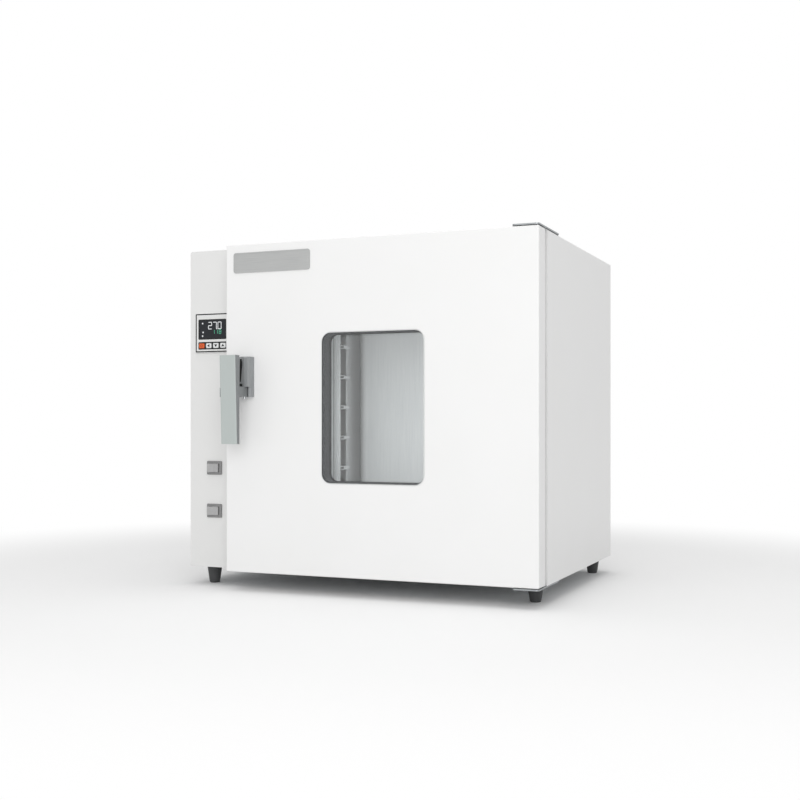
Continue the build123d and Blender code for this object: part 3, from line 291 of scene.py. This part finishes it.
stainless_tones = ("#E2E4E5", "#F0F1F1", 2, 0.45)
rail_steel = brushed("brushed_stainless_steel", *stainless_tones, metallic=0.6)
liner_steel = brushed("liner_steel_painted_shade", *stainless_tones, shade_mask=painted_shade_beside_duct, metallic=0.6)
duct_steel = brushed("duct_steel_painted_shade", *stainless_tones, shade_mask=painted_shade_on_bends, metallic=0.6)
rails = ("shelf_rail_front_left", "shelf_rail_rear_left", "shelf_rail_front_right", "shelf_rail_rear_right")
dress(rail_steel, *rails)
dress(liner_steel, "chamber_liner")
dress(duct_steel, "air_duct_panel")


def slab(bm, low, high, edge=0.0, segments=2):
    # A block between two corners, its edges rounded where an edge size is given
    made = bmesh.ops.create_cube(bm, size=1.0)["verts"]
    size = Vector(high) - Vector(low)
    bmesh.ops.scale(bm, vec=size, verts=made)
    bmesh.ops.translate(bm, vec=(Vector(low) + Vector(high)) / 2, verts=made)
    if edge:
        edges = list({e for v in made for e in v.link_edges})
        bmesh.ops.bevel(bm, geom=edges, offset=edge, segments=segments, profile=0.5, affect="EDGES",
                        material=-1)


tab_levels = [(146 + 60.7 * level) * MM for level in range(7)]
tab_width, tab_height = 24 * MM, 7 * MM
slot_height, slot_rise = 1.4 * MM, 0.25 * MM
rail_stand = 8 * MM
seam_width, seam_rise, seam_gap = 1.7 * MM, 0.4 * MM, 0.1 * MM


# Painted shade: a dark strip where each slot is punched, above and below each tab
def rail_slot_shade_mesh(bm):
    for name in rails:
        low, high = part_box(name)
        side = 1 if low[0] < duct_middle else -1
        face = low[0] + rail_stand if side > 0 else high[0] - rail_stand
        middle = (low[1] + high[1]) / 2
        for level in tab_levels:
            for end in (-1, 1):
                z = level + end * (tab_height / 2 + slot_height)
                x0, x1 = sorted((face, face + side * slot_rise))
                slab(bm, (x0, middle - tab_width * 0.55, z - slot_height / 2),
                     (x1, middle + tab_width * 0.55, z + slot_height / 2), slot_rise / 3, 1)


# Painted shade: a dark strip along the front edge of each rail, where it meets the wall
def rail_seam_shade_mesh(bm):
    for name in rails:
        low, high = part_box(name)
        wall, side = (low[0], 1) if low[0] < duct_middle else (high[0], -1)
        x0, x1 = sorted((wall, wall + side * seam_rise))
        y0, y1 = low[1] - seam_gap - seam_width, low[1] - seam_gap
        slab(bm, (x0, y0, low[2]), (x1, y1, high[2]), 0.15 * MM, 1)


def moulded(name, dark, pale, roughness, grain_mm, depth, sheen=0.0, specular=0.5):
    # A plastic or rubber skin: fine grain from the mould and a slow change of tone
    made, tree = new_material(name)
    at = add(tree, "TexCoord").outputs["Object"]
    grain = add(tree, "TexNoise", {"Scale": 1 / (grain_mm * MM), "Detail": 2.0}, {"Vector": at})
    drift = add(tree, "TexNoise", {"Scale": 1 / (40 * MM), "Detail": 1.0}, {"Vector": at})
    tone = add(tree, "ValToRGB", links={"Fac": drift.outputs["Fac"]})
    tone.color_ramp.elements[0].color = linear(dark)
    tone.color_ramp.elements[1].color = linear(pale)
    gloss = add(tree, "MapRange", {"To Min": roughness - 0.06, "To Max": roughness + 0.06},
                {"Value": grain.outputs["Fac"]})
    skin = bump_from(tree, grain.outputs["Fac"], depth, 0.06)
    plastic = add(tree, "BsdfPrincipled", {"Sheen Weight": sheen, "Specular IOR Level": specular}, {
        "Base Color": tone.outputs[0], "Roughness": gloss.outputs[0], "Normal": skin.outputs[0]})
    add(tree, "OutputMaterial", links={"Surface": plastic.outputs[0]})
    return made


# Painted shade: dark matt strips stand for the shade in the slots and in the seam in front of each rail
slot_and_seam_shade = moulded("black_painted_slot_shade", "#3E3D3C", "#4A4948", 0.7, 1.0, 0.2, specular=0.2)
as_object("rail_slot_shade", rail_slot_shade_mesh, slot_and_seam_shade, "cabinet")
as_object("rail_seam_shade", rail_seam_shade_mesh, slot_and_seam_shade, "cabinet")

# Wire shelves.
# Two shelves of bright drawn steel wire: a round rod bent to a frame, wires from front to back
# welded into it, and a rod across under their middle.


def rod(bm, start, end, radius, sides=10):
    start, end = Vector(start), Vector(end)
    along = end - start
    place = Matrix.Translation((start + end) / 2) @ along.to_track_quat("Z", "Y").to_matrix().to_4x4()
    bmesh.ops.create_cone(bm, cap_ends=True, segments=sides, radius1=radius, radius2=radius,
                          depth=along.length, matrix=place)


def bent_frame(bm, low, high, z, corner, radius, sides=10):
    # A rod led round a rectangle: pushed out along each side, then spun round each corner
    start = Matrix.Translation((high[0], low[1] + corner, z)) @ Matrix.Rotation(pi / 2, 4, "X")
    ends = bmesh.ops.create_circle(bm, segments=sides, radius=radius, matrix=start)["verts"]
    heading = Vector((0, 1, 0))
    for turn in range(4):
        span = (high[1] - low[1]) if turn % 2 == 0 else (high[0] - low[0])
        loop = [e for e in bm.edges if all(v in ends for v in e.verts)]
        made = bmesh.ops.extrude_edge_only(bm, edges=loop)["geom"]
        ends = [v for v in made if isinstance(v, bmesh.types.BMVert)]
        bmesh.ops.translate(bm, verts=ends, vec=heading * (span - 2 * corner))
        loop = [e for e in bm.edges if all(v in ends for v in e.verts)]
        inward = Matrix.Rotation(pi / 2, 3, "Z") @ heading
        middle = sum((v.co for v in ends), Vector()) / len(ends)
        made = bmesh.ops.spin(bm, geom=ends + loop, cent=middle + inward * corner, axis=(0, 0, 1),
                              angle=pi / 2, steps=5)["geom_last"]
        ends = [v for v in made if isinstance(v, bmesh.types.BMVert)]
        heading = inward
    bmesh.ops.remove_doubles(bm, verts=bm.verts, dist=0.01 * MM)


def wire_shelf_mesh(node):
    low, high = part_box(node)
    rod_radius, wire_radius, pitch, corner = 2.5 * MM, 1.5 * MM, 26 * MM, 10 * MM
    cross_drop = 1 * MM
    z = (low[2] + high[2]) / 2
    width = high[0] - low[0]
    count = int((width - 2 * corner) / pitch) + 1

    def fill(bm):
        inset = Vector((rod_radius, rod_radius, 0))
        bent_frame(bm, low + inset, high - inset, z, corner, rod_radius)
        for wire in range(count):
            x = (low[0] + high[0]) / 2 + (wire - (count - 1) / 2) * pitch
            rod(bm, (x, low[1] + rod_radius, z), (x, high[1] - rod_radius, z), wire_radius)
        y = (low[1] + high[1]) / 2
        left, right = low[0] + rod_radius, high[0] - rod_radius
        rod(bm, (left, y, z - cross_drop), (right, y, z - cross_drop), wire_radius)
        bmesh.ops.recalc_face_normals(bm, faces=bm.faces)
    return fill


drawn_wire = brushed("bright_drawn_wire", "#B4B7B9", "#CDD0D1", 1, 0.24, 30, 0.6)
for shelf in ("lower", "upper"):
    node = f"wire_shelf_{shelf}"
    body = f"{shelf}_shelf"
    piece = as_object(f"round_wire_{shelf}", wire_shelf_mesh(node), drawn_wire, body)
    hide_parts(node)

# Mineral wool.
# Slabs of bonded rock wool fill the cabinet's walls and the door, held between their sheets: dull,
# yellow-brown and fibrous.

rock_wool, tree = new_material("bonded_rock_wool")
at = add(tree, "TexCoord").outputs["Object"]
fibres = add(tree, "TexNoise", {"Scale": 1 / (4 * MM), "Detail": 6.0, "Distortion": 2.0}, {"Vector": at})
tone = add(tree, "ValToRGB", links={"Fac": fibres.outputs["Fac"]})
tone.color_ramp.elements[0].color = linear("#8A7F5C")
tone.color_ramp.elements[1].color = linear("#C2B78E")
skin = bump_from(tree, fibres.outputs["Fac"], 0.8, 1.0)
wool = add(tree, "BsdfPrincipled", {"Roughness": 0.95, "Specular IOR Level": 0.1}, {
    "Base Color": tone.outputs[0], "Normal": skin.outputs[0]})
add(tree, "OutputMaterial", links={"Surface": wool.outputs[0]})
dress(rock_wool, "cabinet_insulation", "door_insulation")

# Door gasket.
# A seal of moulded silicone rubber, pressed on round the chamber's mouth: soft, grey and
# slightly waxy.

silicone = moulded("moulded_silicone_rubber", "#7E8082", "#86888A", 0.55, 0.8, 0.2, sheen=0.15)
dress(silicone, "door_gasket")

# Fan, motor and heaters.
# The wheel is pressed aluminium on a ground steel shaft, the motor is painted dark grey, and
# the sheathed heater rods are blued by their heat.


def plain_metal(name, dark, pale, roughness, grain_mm, depth):
    made, tree = new_material(name)
    at = add(tree, "TexCoord").outputs["Object"]
    grain = add(tree, "TexNoise", {"Scale": 1 / (grain_mm * MM), "Detail": 3.0}, {"Vector": at})
    tone = add(tree, "ValToRGB", links={"Fac": grain.outputs["Fac"]})
    tone.color_ramp.elements[0].color = linear(dark)
    tone.color_ramp.elements[1].color = linear(pale)
    gloss = add(tree, "MapRange", {"To Min": roughness - 0.06, "To Max": roughness + 0.08},
                {"Value": grain.outputs["Fac"]})
    skin = bump_from(tree, grain.outputs["Fac"], depth, 0.05)
    metal = add(tree, "BsdfPrincipled", {"Metallic": 1.0}, {
        "Base Color": tone.outputs[0], "Roughness": gloss.outputs[0], "Normal": skin.outputs[0]})
    add(tree, "OutputMaterial", links={"Surface": metal.outputs[0]})
    return made


aluminium = plain_metal("pressed_aluminium", "#B4B7BA", "#C8CBCD", 0.36, 1.2, 0.2)
ground_steel = plain_metal("ground_steel", "#A9ABAD", "#BFC1C2", 0.24, 0.5, 0.15)
blued_steel = plain_metal("heat_blued_steel", "#4C4A50", "#7B6F63", 0.45, 6.0, 0.3)
motor_paint = moulded("hammered_grey_paint", "#3F4347", "#4A4E52", 0.45, 1.6, 0.5)
dress(aluminium, "fan_wheel")
dress(ground_steel, "fan_shaft", "temperature_probe", "hinge_pin_top", "hinge_pin_bottom",
      "hinge_screws", "handle_pin", "latch_keeper")
dress(blued_steel, "heater_elements")
dress(motor_paint, "fan_motor")

# Window.
# Two toughened panes in a dark grey painted steel reveal that is pushed through the door. The
# reveal's front lip is painted pale like the door; towards each pane the grey is painted darker,
# as painted shade in the corners where the panes sit.

reveal_low, reveal_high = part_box("window_reveal")

reveal_paint, tree = new_material("dark_grey_powder_coat")
at = add(tree, "TexCoord").outputs["Object"]
grain = add(tree, "TexNoise", {"Scale": 1 / (1.5 * MM), "Detail": 2.0}, {"Vector": at})
depth = add(tree, "SeparateXYZ", links={0: at}).outputs[1]
depth = add(tree, "MapRange", {"From Min": reveal_low[1], "From Max": reveal_high[1]}, {"Value": depth})
tone = add(tree, "ValToRGB", links={"Fac": depth.outputs[0]})
# The pale front lip, then painted shade: darker next to the outer pane at the front and the inner pane at
# the back, paler between
lip_and_shade_stops = ((0.0, "#DADBDB"), (0.006, "#DADBDB"), (0.012, "#2E3031"), (0.1, "#34373A"), (0.18, "#4E5153"),
         (0.7, "#585B5D"), (0.84, "#2E3031"), (1.0, "#26282A"))
for place, colour in lip_and_shade_stops[1:-1]:
    tone.color_ramp.elements.new(place)
for element, (place, colour) in zip(tone.color_ramp.elements, lip_and_shade_stops):
    element.position = place
    element.color = linear(colour)
gloss = add(tree, "MapRange", {"To Min": 0.45, "To Max": 0.58}, {"Value": grain.outputs["Fac"]})
skin = bump_from(tree, grain.outputs["Fac"], 0.15, 0.06)
paint = add(tree, "BsdfPrincipled", {"Specular IOR Level": 0.35}, {
    "Base Color": tone.outputs[0], "Roughness": gloss.outputs[0], "Normal": skin.outputs[0]})
add(tree, "OutputMaterial", links={"Surface": paint.outputs[0]})
dress(reveal_paint, "window_reveal")

float_glass, tree = new_material("toughened_float_glass")
at = add(tree, "TexCoord").outputs["Object"]
# Roller waves of the toughening oven, 90 mm apart and very shallow
waves = add(tree, "TexNoise", {"Scale": 1 / (90 * MM), "Detail": 0.0}, {"Vector": at})
skin = bump_from(tree, waves.outputs["Fac"], 0.03, 0.2)
pane = add(tree, "BsdfPrincipled", {
    "Base Color": linear("#FDFEFE"), "Roughness": 0.0, "IOR": 1.5, "Transmission Weight": 1.0},
    {"Normal": skin.outputs[0]})
clear = add(tree, "BsdfTransparent", {"Color": linear("#FBFCFC")})
path = add(tree, "LightPath")
through = add(tree, "Math", links={0: path.outputs["Is Shadow Ray"], 1: path.outputs["Is Diffuse Ray"]},
              operation="MAXIMUM")
mixed = add(tree, "MixShader", links={0: through.outputs[0], 1: pane.outputs[0], 2: clear.outputs[0]})
add(tree, "OutputMaterial", links={"Surface": mixed.outputs[0]})
dress(float_glass, "outer_glass", "inner_glass")

# Nameplate.
# A small anodised aluminium plate with a raised rim and a field brushed from side to side,
# left bare.

plate_metal = brushed("anodised_aluminium_brushed", "#ADAEAE", "#B9BAB9", 0, 0.34, 40, 0.5)
dress(plate_metal, "nameplate")

# Hinges.
# Two zinc-plated steel plates, screwed to the cabinet above and below the door, carry its ground
# pins, which turn in sintered bronze bushes.

hinge_zinc = plain_metal("zinc_plated_hinge_steel", "#8E9193", "#A6A9AB", 0.4, 2.0, 0.2)
bronze = plain_metal("sintered_bronze", "#9A7440", "#B88E55", 0.42, 0.6, 0.3)
dress(hinge_zinc, "hinge_plate_top", "hinge_plate_bottom")
dress(bronze, "hinge_bushes")

# Door handle.
# The long lever is die-cast and sprayed pale grey; its flanks and arm, which face away from the
# front, are painted a darker grey as painted shade. Its base is moulded in glass-filled nylon. A
# black wedge on the left of the housing's front and a black block below it are painted shade, for
# the dark gap beside the lever. A ground pin holds the two together.

grip_depth = 15 * MM
grip_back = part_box("handle_lever")[0][1] + grip_depth

lever_paint, tree = new_material("grey_die_casting_painted_shade")
coordinates = add(tree, "TexCoord").outputs
at = coordinates["Object"]
grain = add(tree, "TexNoise", {"Scale": 1 / (0.9 * MM), "Detail": 2.0}, {"Vector": at})
# Painted shade: faces turned away from the front, and the arm behind the grip, take the darker grey
faces_out = add(tree, "SeparateXYZ", links={0: coordinates["Normal"]}).outputs[1]
faces_out = add(tree, "MapRange", {"From Min": -0.55, "From Max": -0.75}, {"Value": faces_out})
on_grip = add(tree, "SeparateXYZ", links={0: at}).outputs[1]
on_grip = add(tree, "Math", {1: grip_back}, {0: on_grip}, operation="LESS_THAN")
unshaded_face = add(tree, "Math", links={0: faces_out.outputs[0], 1: on_grip.outputs[0]}, operation="MULTIPLY")
tone = add(tree, "Mix", {6: linear("#858889"), 7: linear("#BAC1BF")}, {0: unshaded_face.outputs[0]},
           data_type="RGBA")
gloss = add(tree, "MapRange", {"To Min": 0.38, "To Max": 0.5}, {"Value": grain.outputs["Fac"]})
skin = bump_from(tree, grain.outputs["Fac"], 0.12, 0.06)
paint = add(tree, "BsdfPrincipled", {"Specular IOR Level": 0.35}, {
    "Base Color": tone.outputs[2], "Roughness": gloss.outputs[0], "Normal": skin.outputs[0]})
add(tree, "OutputMaterial", links={"Surface": paint.outputs[0]})
base_nylon = moulded("glass_filled_nylon_grey", "#8F9294", "#989B9C", 0.5, 2.0, 0.15)
dress(lever_paint, "handle_lever")
dress(base_nylon, "handle_base")

housing_low, housing_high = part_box("handle_base")
# The housing's core starts 19 mm from the base's left edge and stands 16.5 mm out from the door
core_left, core_front = housing_low[0] + 19 * MM, housing_high[1] - 16.5 * MM
shade_back = core_front - 0.02 * MM


def push_out(bm, faces, depth):
    # Extrude faces towards the front, and return the vertices of the new front
    pushed = bmesh.ops.extrude_face_region(bm, geom=faces)["geom"]
    front = [v for v in pushed if isinstance(v, bmesh.types.BMVert)]
    bmesh.ops.translate(bm, verts=front, vec=(0, -depth, 0))
    bmesh.ops.recalc_face_normals(bm, faces=bm.faces)
    return front


def round_rim(bm, front, size, segments):
    rim = [e for e in bm.edges if all(v in front for v in e.verts)]
    bmesh.ops.bevel(bm, geom=rim, offset=size, segments=segments, profile=0.5, affect="EDGES", material=-1)


def gap_shade_mesh(bm):
    # Painted shade: a black sheet, wide at the top and narrow at the foot, flat on the housing's front
    top, foot = housing_high[2] - 4 * MM, housing_low[2] + 26 * MM
    outline = ((0.1, foot), (1.6, foot), (4.6, top - 6 * MM), (3.2, top), (0.1, top))
    corners = [bm.verts.new((core_left + x * MM, shade_back, z)) for x, z in outline]
    front = push_out(bm, [bm.faces.new(corners)], 1.2 * MM)
    round_rim(bm, front, 0.3 * MM, 2)


def gap_shade_foot_mesh(bm):
    # Painted shade: a small black block at the foot of the gap
    left, right = core_left + 0.1 * MM, core_left + 4.4 * MM
    foot, top = housing_low[2] + 18.2 * MM, housing_low[2] + 22.6 * MM
    slab(bm, (left, core_front - 1.6 * MM, foot), (right, shade_back, top), 0.4 * MM)


# Black pieces laid where the gap beside the lever lies in shadow: painted shade
gap_shade_black = moulded("black_painted_gap_shade", "#141515", "#1B1C1C", 0.6, 0.8, 0.2, specular=0.25)
as_object("handle_gap_shade", gap_shade_mesh, gap_shade_black, "door")
as_object("handle_gap_shade_foot", gap_shade_foot_mesh, gap_shade_black, "door")

# Controller.
# A panel controller: black moulded case, a pale bezel with a black printed border, a smoked lens
# over lit segments, and below it one orange and three pale keys in a black strip.

black_abs = moulded("black_abs", "#161718", "#1E1F20", 0.42, 0.5, 0.2, specular=0.3)
smoked_lens = moulded("smoked_acrylic", "#1C1F24", "#202328", 0.14, 0.5, 0.0, specular=0.3)
orange_key = moulded("orange_silicone_key", "#D9581E", "#E0632A", 0.48, 0.6, 0.2)
pale_key = moulded("pale_silicone_key", "#E6E8E8", "#EEEFEF", 0.48, 0.6, 0.2)
face_abs = moulded("pale_grey_abs", "#E0E1E0", "#E8E8E7", 0.4, 0.5, 0.15)
dress(face_abs, "controller_bezel")
dress(black_abs, "controller_case", "relay")
dress(smoked_lens, "display_lens")
dress(orange_key, "key_1")
dress(pale_key, "key_2", "key_3", "key_4")


def upright_plate(bm, middle, width, height, corner):
    # A flat plate that faces the front, with rounded corners
    made = bmesh.ops.create_grid(bm, x_segments=1, y_segments=1, size=0.5)["verts"]
    bmesh.ops.rotate(bm, verts=made, cent=(0, 0, 0), matrix=Matrix.Rotation(pi / 2, 3, "X"))
    bmesh.ops.scale(bm, vec=(width, 1, height), verts=made)
    bmesh.ops.translate(bm, vec=middle, verts=made)
    bmesh.ops.bevel(bm, geom=made, offset=corner, segments=4, profile=0.5, affect="VERTICES", material=-1)


def flat_ring(bm, low, high, edge, width, corner, depth):
    # A frame printed on an upright face: it keeps the edge distance from the box's corners low and
    # high, and stands out from the front y = low[1] by its depth
    middle = ((low[0] + high[0]) / 2, low[1], (low[2] + high[2]) / 2)
    upright_plate(bm, middle, high[0] - low[0] - 2 * edge, high[2] - low[2] - 2 * edge, corner)
    whole = bm.faces[:]
    band = bmesh.ops.inset_region(bm, faces=whole, thickness=width, use_boundary=True)["faces"]
    bmesh.ops.delete(bm, geom=whole, context="FACES")
    push_out(bm, band, depth)


bezel_low, bezel_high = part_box("controller_bezel")
lens_low, lens_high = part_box("display_lens")
strip_foot, strip_height, strip_edge = 5.7 * MM, 14 * MM, 0.2 * MM
strip_low = bezel_low[2] + strip_foot + strip_edge
strip_high = bezel_low[2] + strip_foot + strip_height - strip_edge
keys = [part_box(f"key_{number}") for number in range(1, 5)]
cap_width, cap_height, cap_corner, cap_gap = 11.4 * MM, 9.0 * MM, 2.2 * MM, 0.25 * MM
mark_back, mark_rise = keys[0][0][1] - 0.01 * MM, 0.1 * MM


def border_mesh(bm):
    flat_ring(bm, bezel_low, bezel_high, edge=0.8 * MM, width=2.1 * MM, corner=1.6 * MM, depth=0.12 * MM)


def lens_border_mesh(bm):
    flat_ring(bm, lens_low, lens_high, edge=0.1 * MM, width=2.4 * MM, corner=1.8 * MM, depth=0.1 * MM)


def key_strip_mesh(bm):
    # A bar above and below the row of keys, and an upright bar between and beside them
    back = bezel_low[1] + 0.58 * MM
    front = back - 0.4 * MM
    left, right = lens_low[0] + 0.1 * MM, lens_high[0] - 0.1 * MM
    middle = (keys[0][0][2] + keys[0][1][2]) / 2
    low, high = middle - cap_height / 2 - cap_gap, middle + cap_height / 2 + cap_gap
    slab(bm, (left, front, strip_low), (right, back, low), 0.08 * MM, 1)
    slab(bm, (left, front, high), (right, back, strip_high), 0.08 * MM, 1)
    middles = [(a[0] + b[0]) / 2 for a, b in keys]
    starts = [left] + [x + cap_width / 2 + cap_gap for x in middles]
    ends = [x - cap_width / 2 - cap_gap for x in middles] + [right]
    for start, end in zip(starts, ends):
        slab(bm, (start, front, low), (end, back, high), 0.08 * MM, 1)


def key_cap_mesh(number):
    low, high = keys[number - 1]
    middle = Vector(((low[0] + high[0]) / 2, high[1], (low[2] + high[2]) / 2))

    def fill(bm):
        upright_plate(bm, middle, cap_width, cap_height, cap_corner)
        front = push_out(bm, bm.faces[:], high[1] - low[1])
        round_rim(bm, front, 0.45 * MM, 3)
    return fill


as_object("bezel_border", border_mesh, black_abs, "cabinet")
as_object("lens_border", lens_border_mesh, black_abs, "cabinet")
as_object("key_strip", key_strip_mesh, black_abs, "cabinet")
for number in range(1, 5):
    skin, slot = (orange_key, "key_orange") if number == 1 else (pale_key, "key_pale")
    piece = as_object(f"key_cap_{number}", key_cap_mesh(number), skin, f"key_button_{number}")
    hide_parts(f"key_{number}")

# The lit bars of a figure: those across, from the top down, then the uprights at the upper left,
# upper right, lower left and lower right
LIT_BARS = {"0": "101 1111", "1": "000 0101", "2": "111 0110", "7": "100 0101", "8": "111 1111"}
bar_back = lens_low[1] - 0.02 * MM
bar_front = bar_back - 0.1 * MM


def digit(bm, figure, left, low, width, height, stroke):
    # A seven-segment figure standing a hair in front of the lens
    across, upright = LIT_BARS[figure].split()
    half = (height - stroke) / 2
    end, rounding = stroke * 0.55, stroke * 0.04
    for level, state in zip((2, 1, 0), across):
        if state == "1":
            z = low + level * half
            slab(bm, (left + end, bar_front, z), (left + width - end, bar_back, z + stroke), rounding, 1)
    places = ((0, 1), (1, 1), (0, 0), (1, 0))
    for (side, level), state in zip(places, upright):
        if state == "1":
            x = left + side * (width - stroke)
            z = low + stroke * 0.6 + level * half
            slab(bm, (x, bar_front, z), (x + stroke, bar_back, z + half - stroke * 0.2), rounding, 1)


def lens_place(across, down):
    # x and z at these shares of the lens's width and height, from its upper left corner
    return (lens_low[0] + across * (lens_high[0] - lens_low[0]),
            lens_high[2] - down * (lens_high[2] - lens_low[2]))


def upper_row_mesh(bm):
    for figure, across in (("2", 0.35), ("7", 0.52), ("0", 0.69)):
        left, low = lens_place(across, 0.5)
        digit(bm, figure, left, low, 8.2 * MM, 13.6 * MM, 1.4 * MM)
    point, low = lens_place(0.665, 0.5)
    point_size = 1.6 * MM
    left = point - 1 * MM
    slab(bm, (left, bar_front, low), (left + point_size, bar_back, low + point_size))


def lower_row_mesh(bm):
    for figure, across in (("1", 0.5), ("1", 0.61), ("8", 0.735)):
        left, low = lens_place(across, 0.74)
        digit(bm, figure, left, low, 5.0 * MM, 8.4 * MM, 1.1 * MM)


def lamps_mesh(bm):
    for across, down in ((0.15, 0.2), (0.17, 0.64), (0.15, 0.82)):
        x, z = lens_place(across, down)
        place = Matrix.Translation((x, lens_low[1] - 0.08 * MM, z)) @ Matrix.Rotation(pi / 2, 4, "X")
        bmesh.ops.create_cone(bm, cap_ends=True, segments=20, radius1=1.5 * MM, radius2=1.3 * MM,
                              depth=0.12 * MM, matrix=place)


def lit_diffuser(name, dark, pale, strength):
    # Light from below a diffuser: a little uneven across each bar
    made, tree = new_material(name)
    at = add(tree, "TexCoord").outputs["Object"]
    grain = add(tree, "TexNoise", {"Scale": 1 / (2.0 * MM), "Detail": 1.0}, {"Vector": at})
    tone = add(tree, "ValToRGB", links={"Fac": grain.outputs["Fac"]})
    tone.color_ramp.elements[0].color = linear(dark)
    tone.color_ramp.elements[1].color = linear(pale)
    glow = add(tree, "BsdfPrincipled", {"Base Color": linear("#202224"), "Roughness": 0.4,
                                        "Emission Strength": strength},
               {"Emission Color": tone.outputs[0]})
    add(tree, "OutputMaterial", links={"Surface": glow.outputs[0]})
    return made


white_segments = lit_diffuser("lit_white_segments", "#E4E8EC", "#FFFFFF", 0.85)
green_segments = lit_diffuser("lit_green_segments", "#3FAE86", "#64D2A8", 0.7)
as_object("display_upper_row", upper_row_mesh, white_segments, "cabinet")
as_object("display_lower_row", lower_row_mesh, green_segments, "cabinet")
as_object("display_lamps", lamps_mesh, white_segments, "cabinet")


def arrow_mesh(number, points):
    # A mark moulded on a key's front, from points in key widths round its middle
    low, high = keys[number - 1]
    x, z = (low[0] + high[0]) / 2, (low[2] + high[2]) / 2
    size = high[0] - low[0]

    def fill(bm):
        corners = [bm.verts.new((x + a * size, mark_back, z + b * size)) for a, b in points]
        push_out(bm, [bm.faces.new(corners)], mark_rise)
    return fill


def loop_mesh(bm):
    # A flat ring printed on the first key
    low, high = keys[0]
    middle = Vector(((low[0] + high[0]) / 2, mark_back, (low[2] + high[2]) / 2))
    inner, outer = 1.7 * MM, 2.9 * MM
    section = ((inner, 0), (outer, 0), (outer, -mark_rise), (inner, -mark_rise))
    profile = [bm.verts.new(middle + Vector((r, y, 0))) for r, y in section]
    sides = [bm.edges.new((a, b)) for a, b in zip(profile, profile[1:] + profile[:1])]
    bmesh.ops.spin(bm, geom=profile + sides, cent=middle, axis=(0, 1, 0), angle=2 * pi, steps=24,
                   use_merge=True)
    bmesh.ops.recalc_face_normals(bm, faces=bm.faces)


printed_brown = moulded("printed_red_brown", "#A03C14", "#B04A20", 0.5, 0.5, 0.05)
as_object("key_mark_1", loop_mesh, printed_brown, "key_button_1")
arrows = {2: ((-0.26, 0), (0.14, -0.24), (0.14, 0.24)), 3: ((0, -0.24), (0.26, 0.16), (-0.26, 0.16)),
          4: ((0, 0.24), (-0.26, -0.16), (0.26, -0.16))}
for number, points in arrows.items():
    mark = arrow_mesh(number, points)
    as_object(f"key_mark_{number}", mark, black_abs, f"key_button_{number}")

# Rocker switches.
# Two rockers moulded in grey nylon, each in a darker nylon frame that snaps into the front
# panel.

switch_frame = moulded("grey_nylon_frame", "#858585", "#8D8D8D", 0.46, 0.5, 0.2)
switch_face = moulded("grey_nylon_rocker", "#ABABAB", "#B1B1B1", 0.4, 0.5, 0.15)
dress(switch_frame, "rocker_frame_lower", "rocker_frame_upper")
dress(switch_face, "rocker_lower", "rocker_upper")

# Wiring space.
# The terminal strip in the control column is moulded in cream melamine and screwed to the
# partition.

cream_melamine = moulded("cream_melamine", "#CFC6A8", "#D9D0B4", 0.4, 0.6, 0.15)
dress(cream_melamine, "terminal_block")

# Feet, vent and back fittings.
# Tapered black rubber feet, a stainless vent with a turning cap, and a black nylon gland and
# fuse holder on the back panel.

foot_rubber = moulded("moulded_black_rubber", "#3A3B3C", "#454647", 0.62, 0.9, 0.4, sheen=0.1)
black_nylon = moulded("black_nylon", "#1B1C1D", "#232425", 0.45, 0.5, 0.25)
dress(foot_rubber, "foot_front_left", "foot_front_right", "foot_rear_left", "foot_rear_right")
vent_metal = brushed("stainless_steel_vent", "#B9BCBE", "#CBCECF", 2, 0.3, 12, 0.5)
dress(vent_metal, "vent_tube", "vent_cap")
dress(black_nylon, "cable_gland", "fuse_holder")
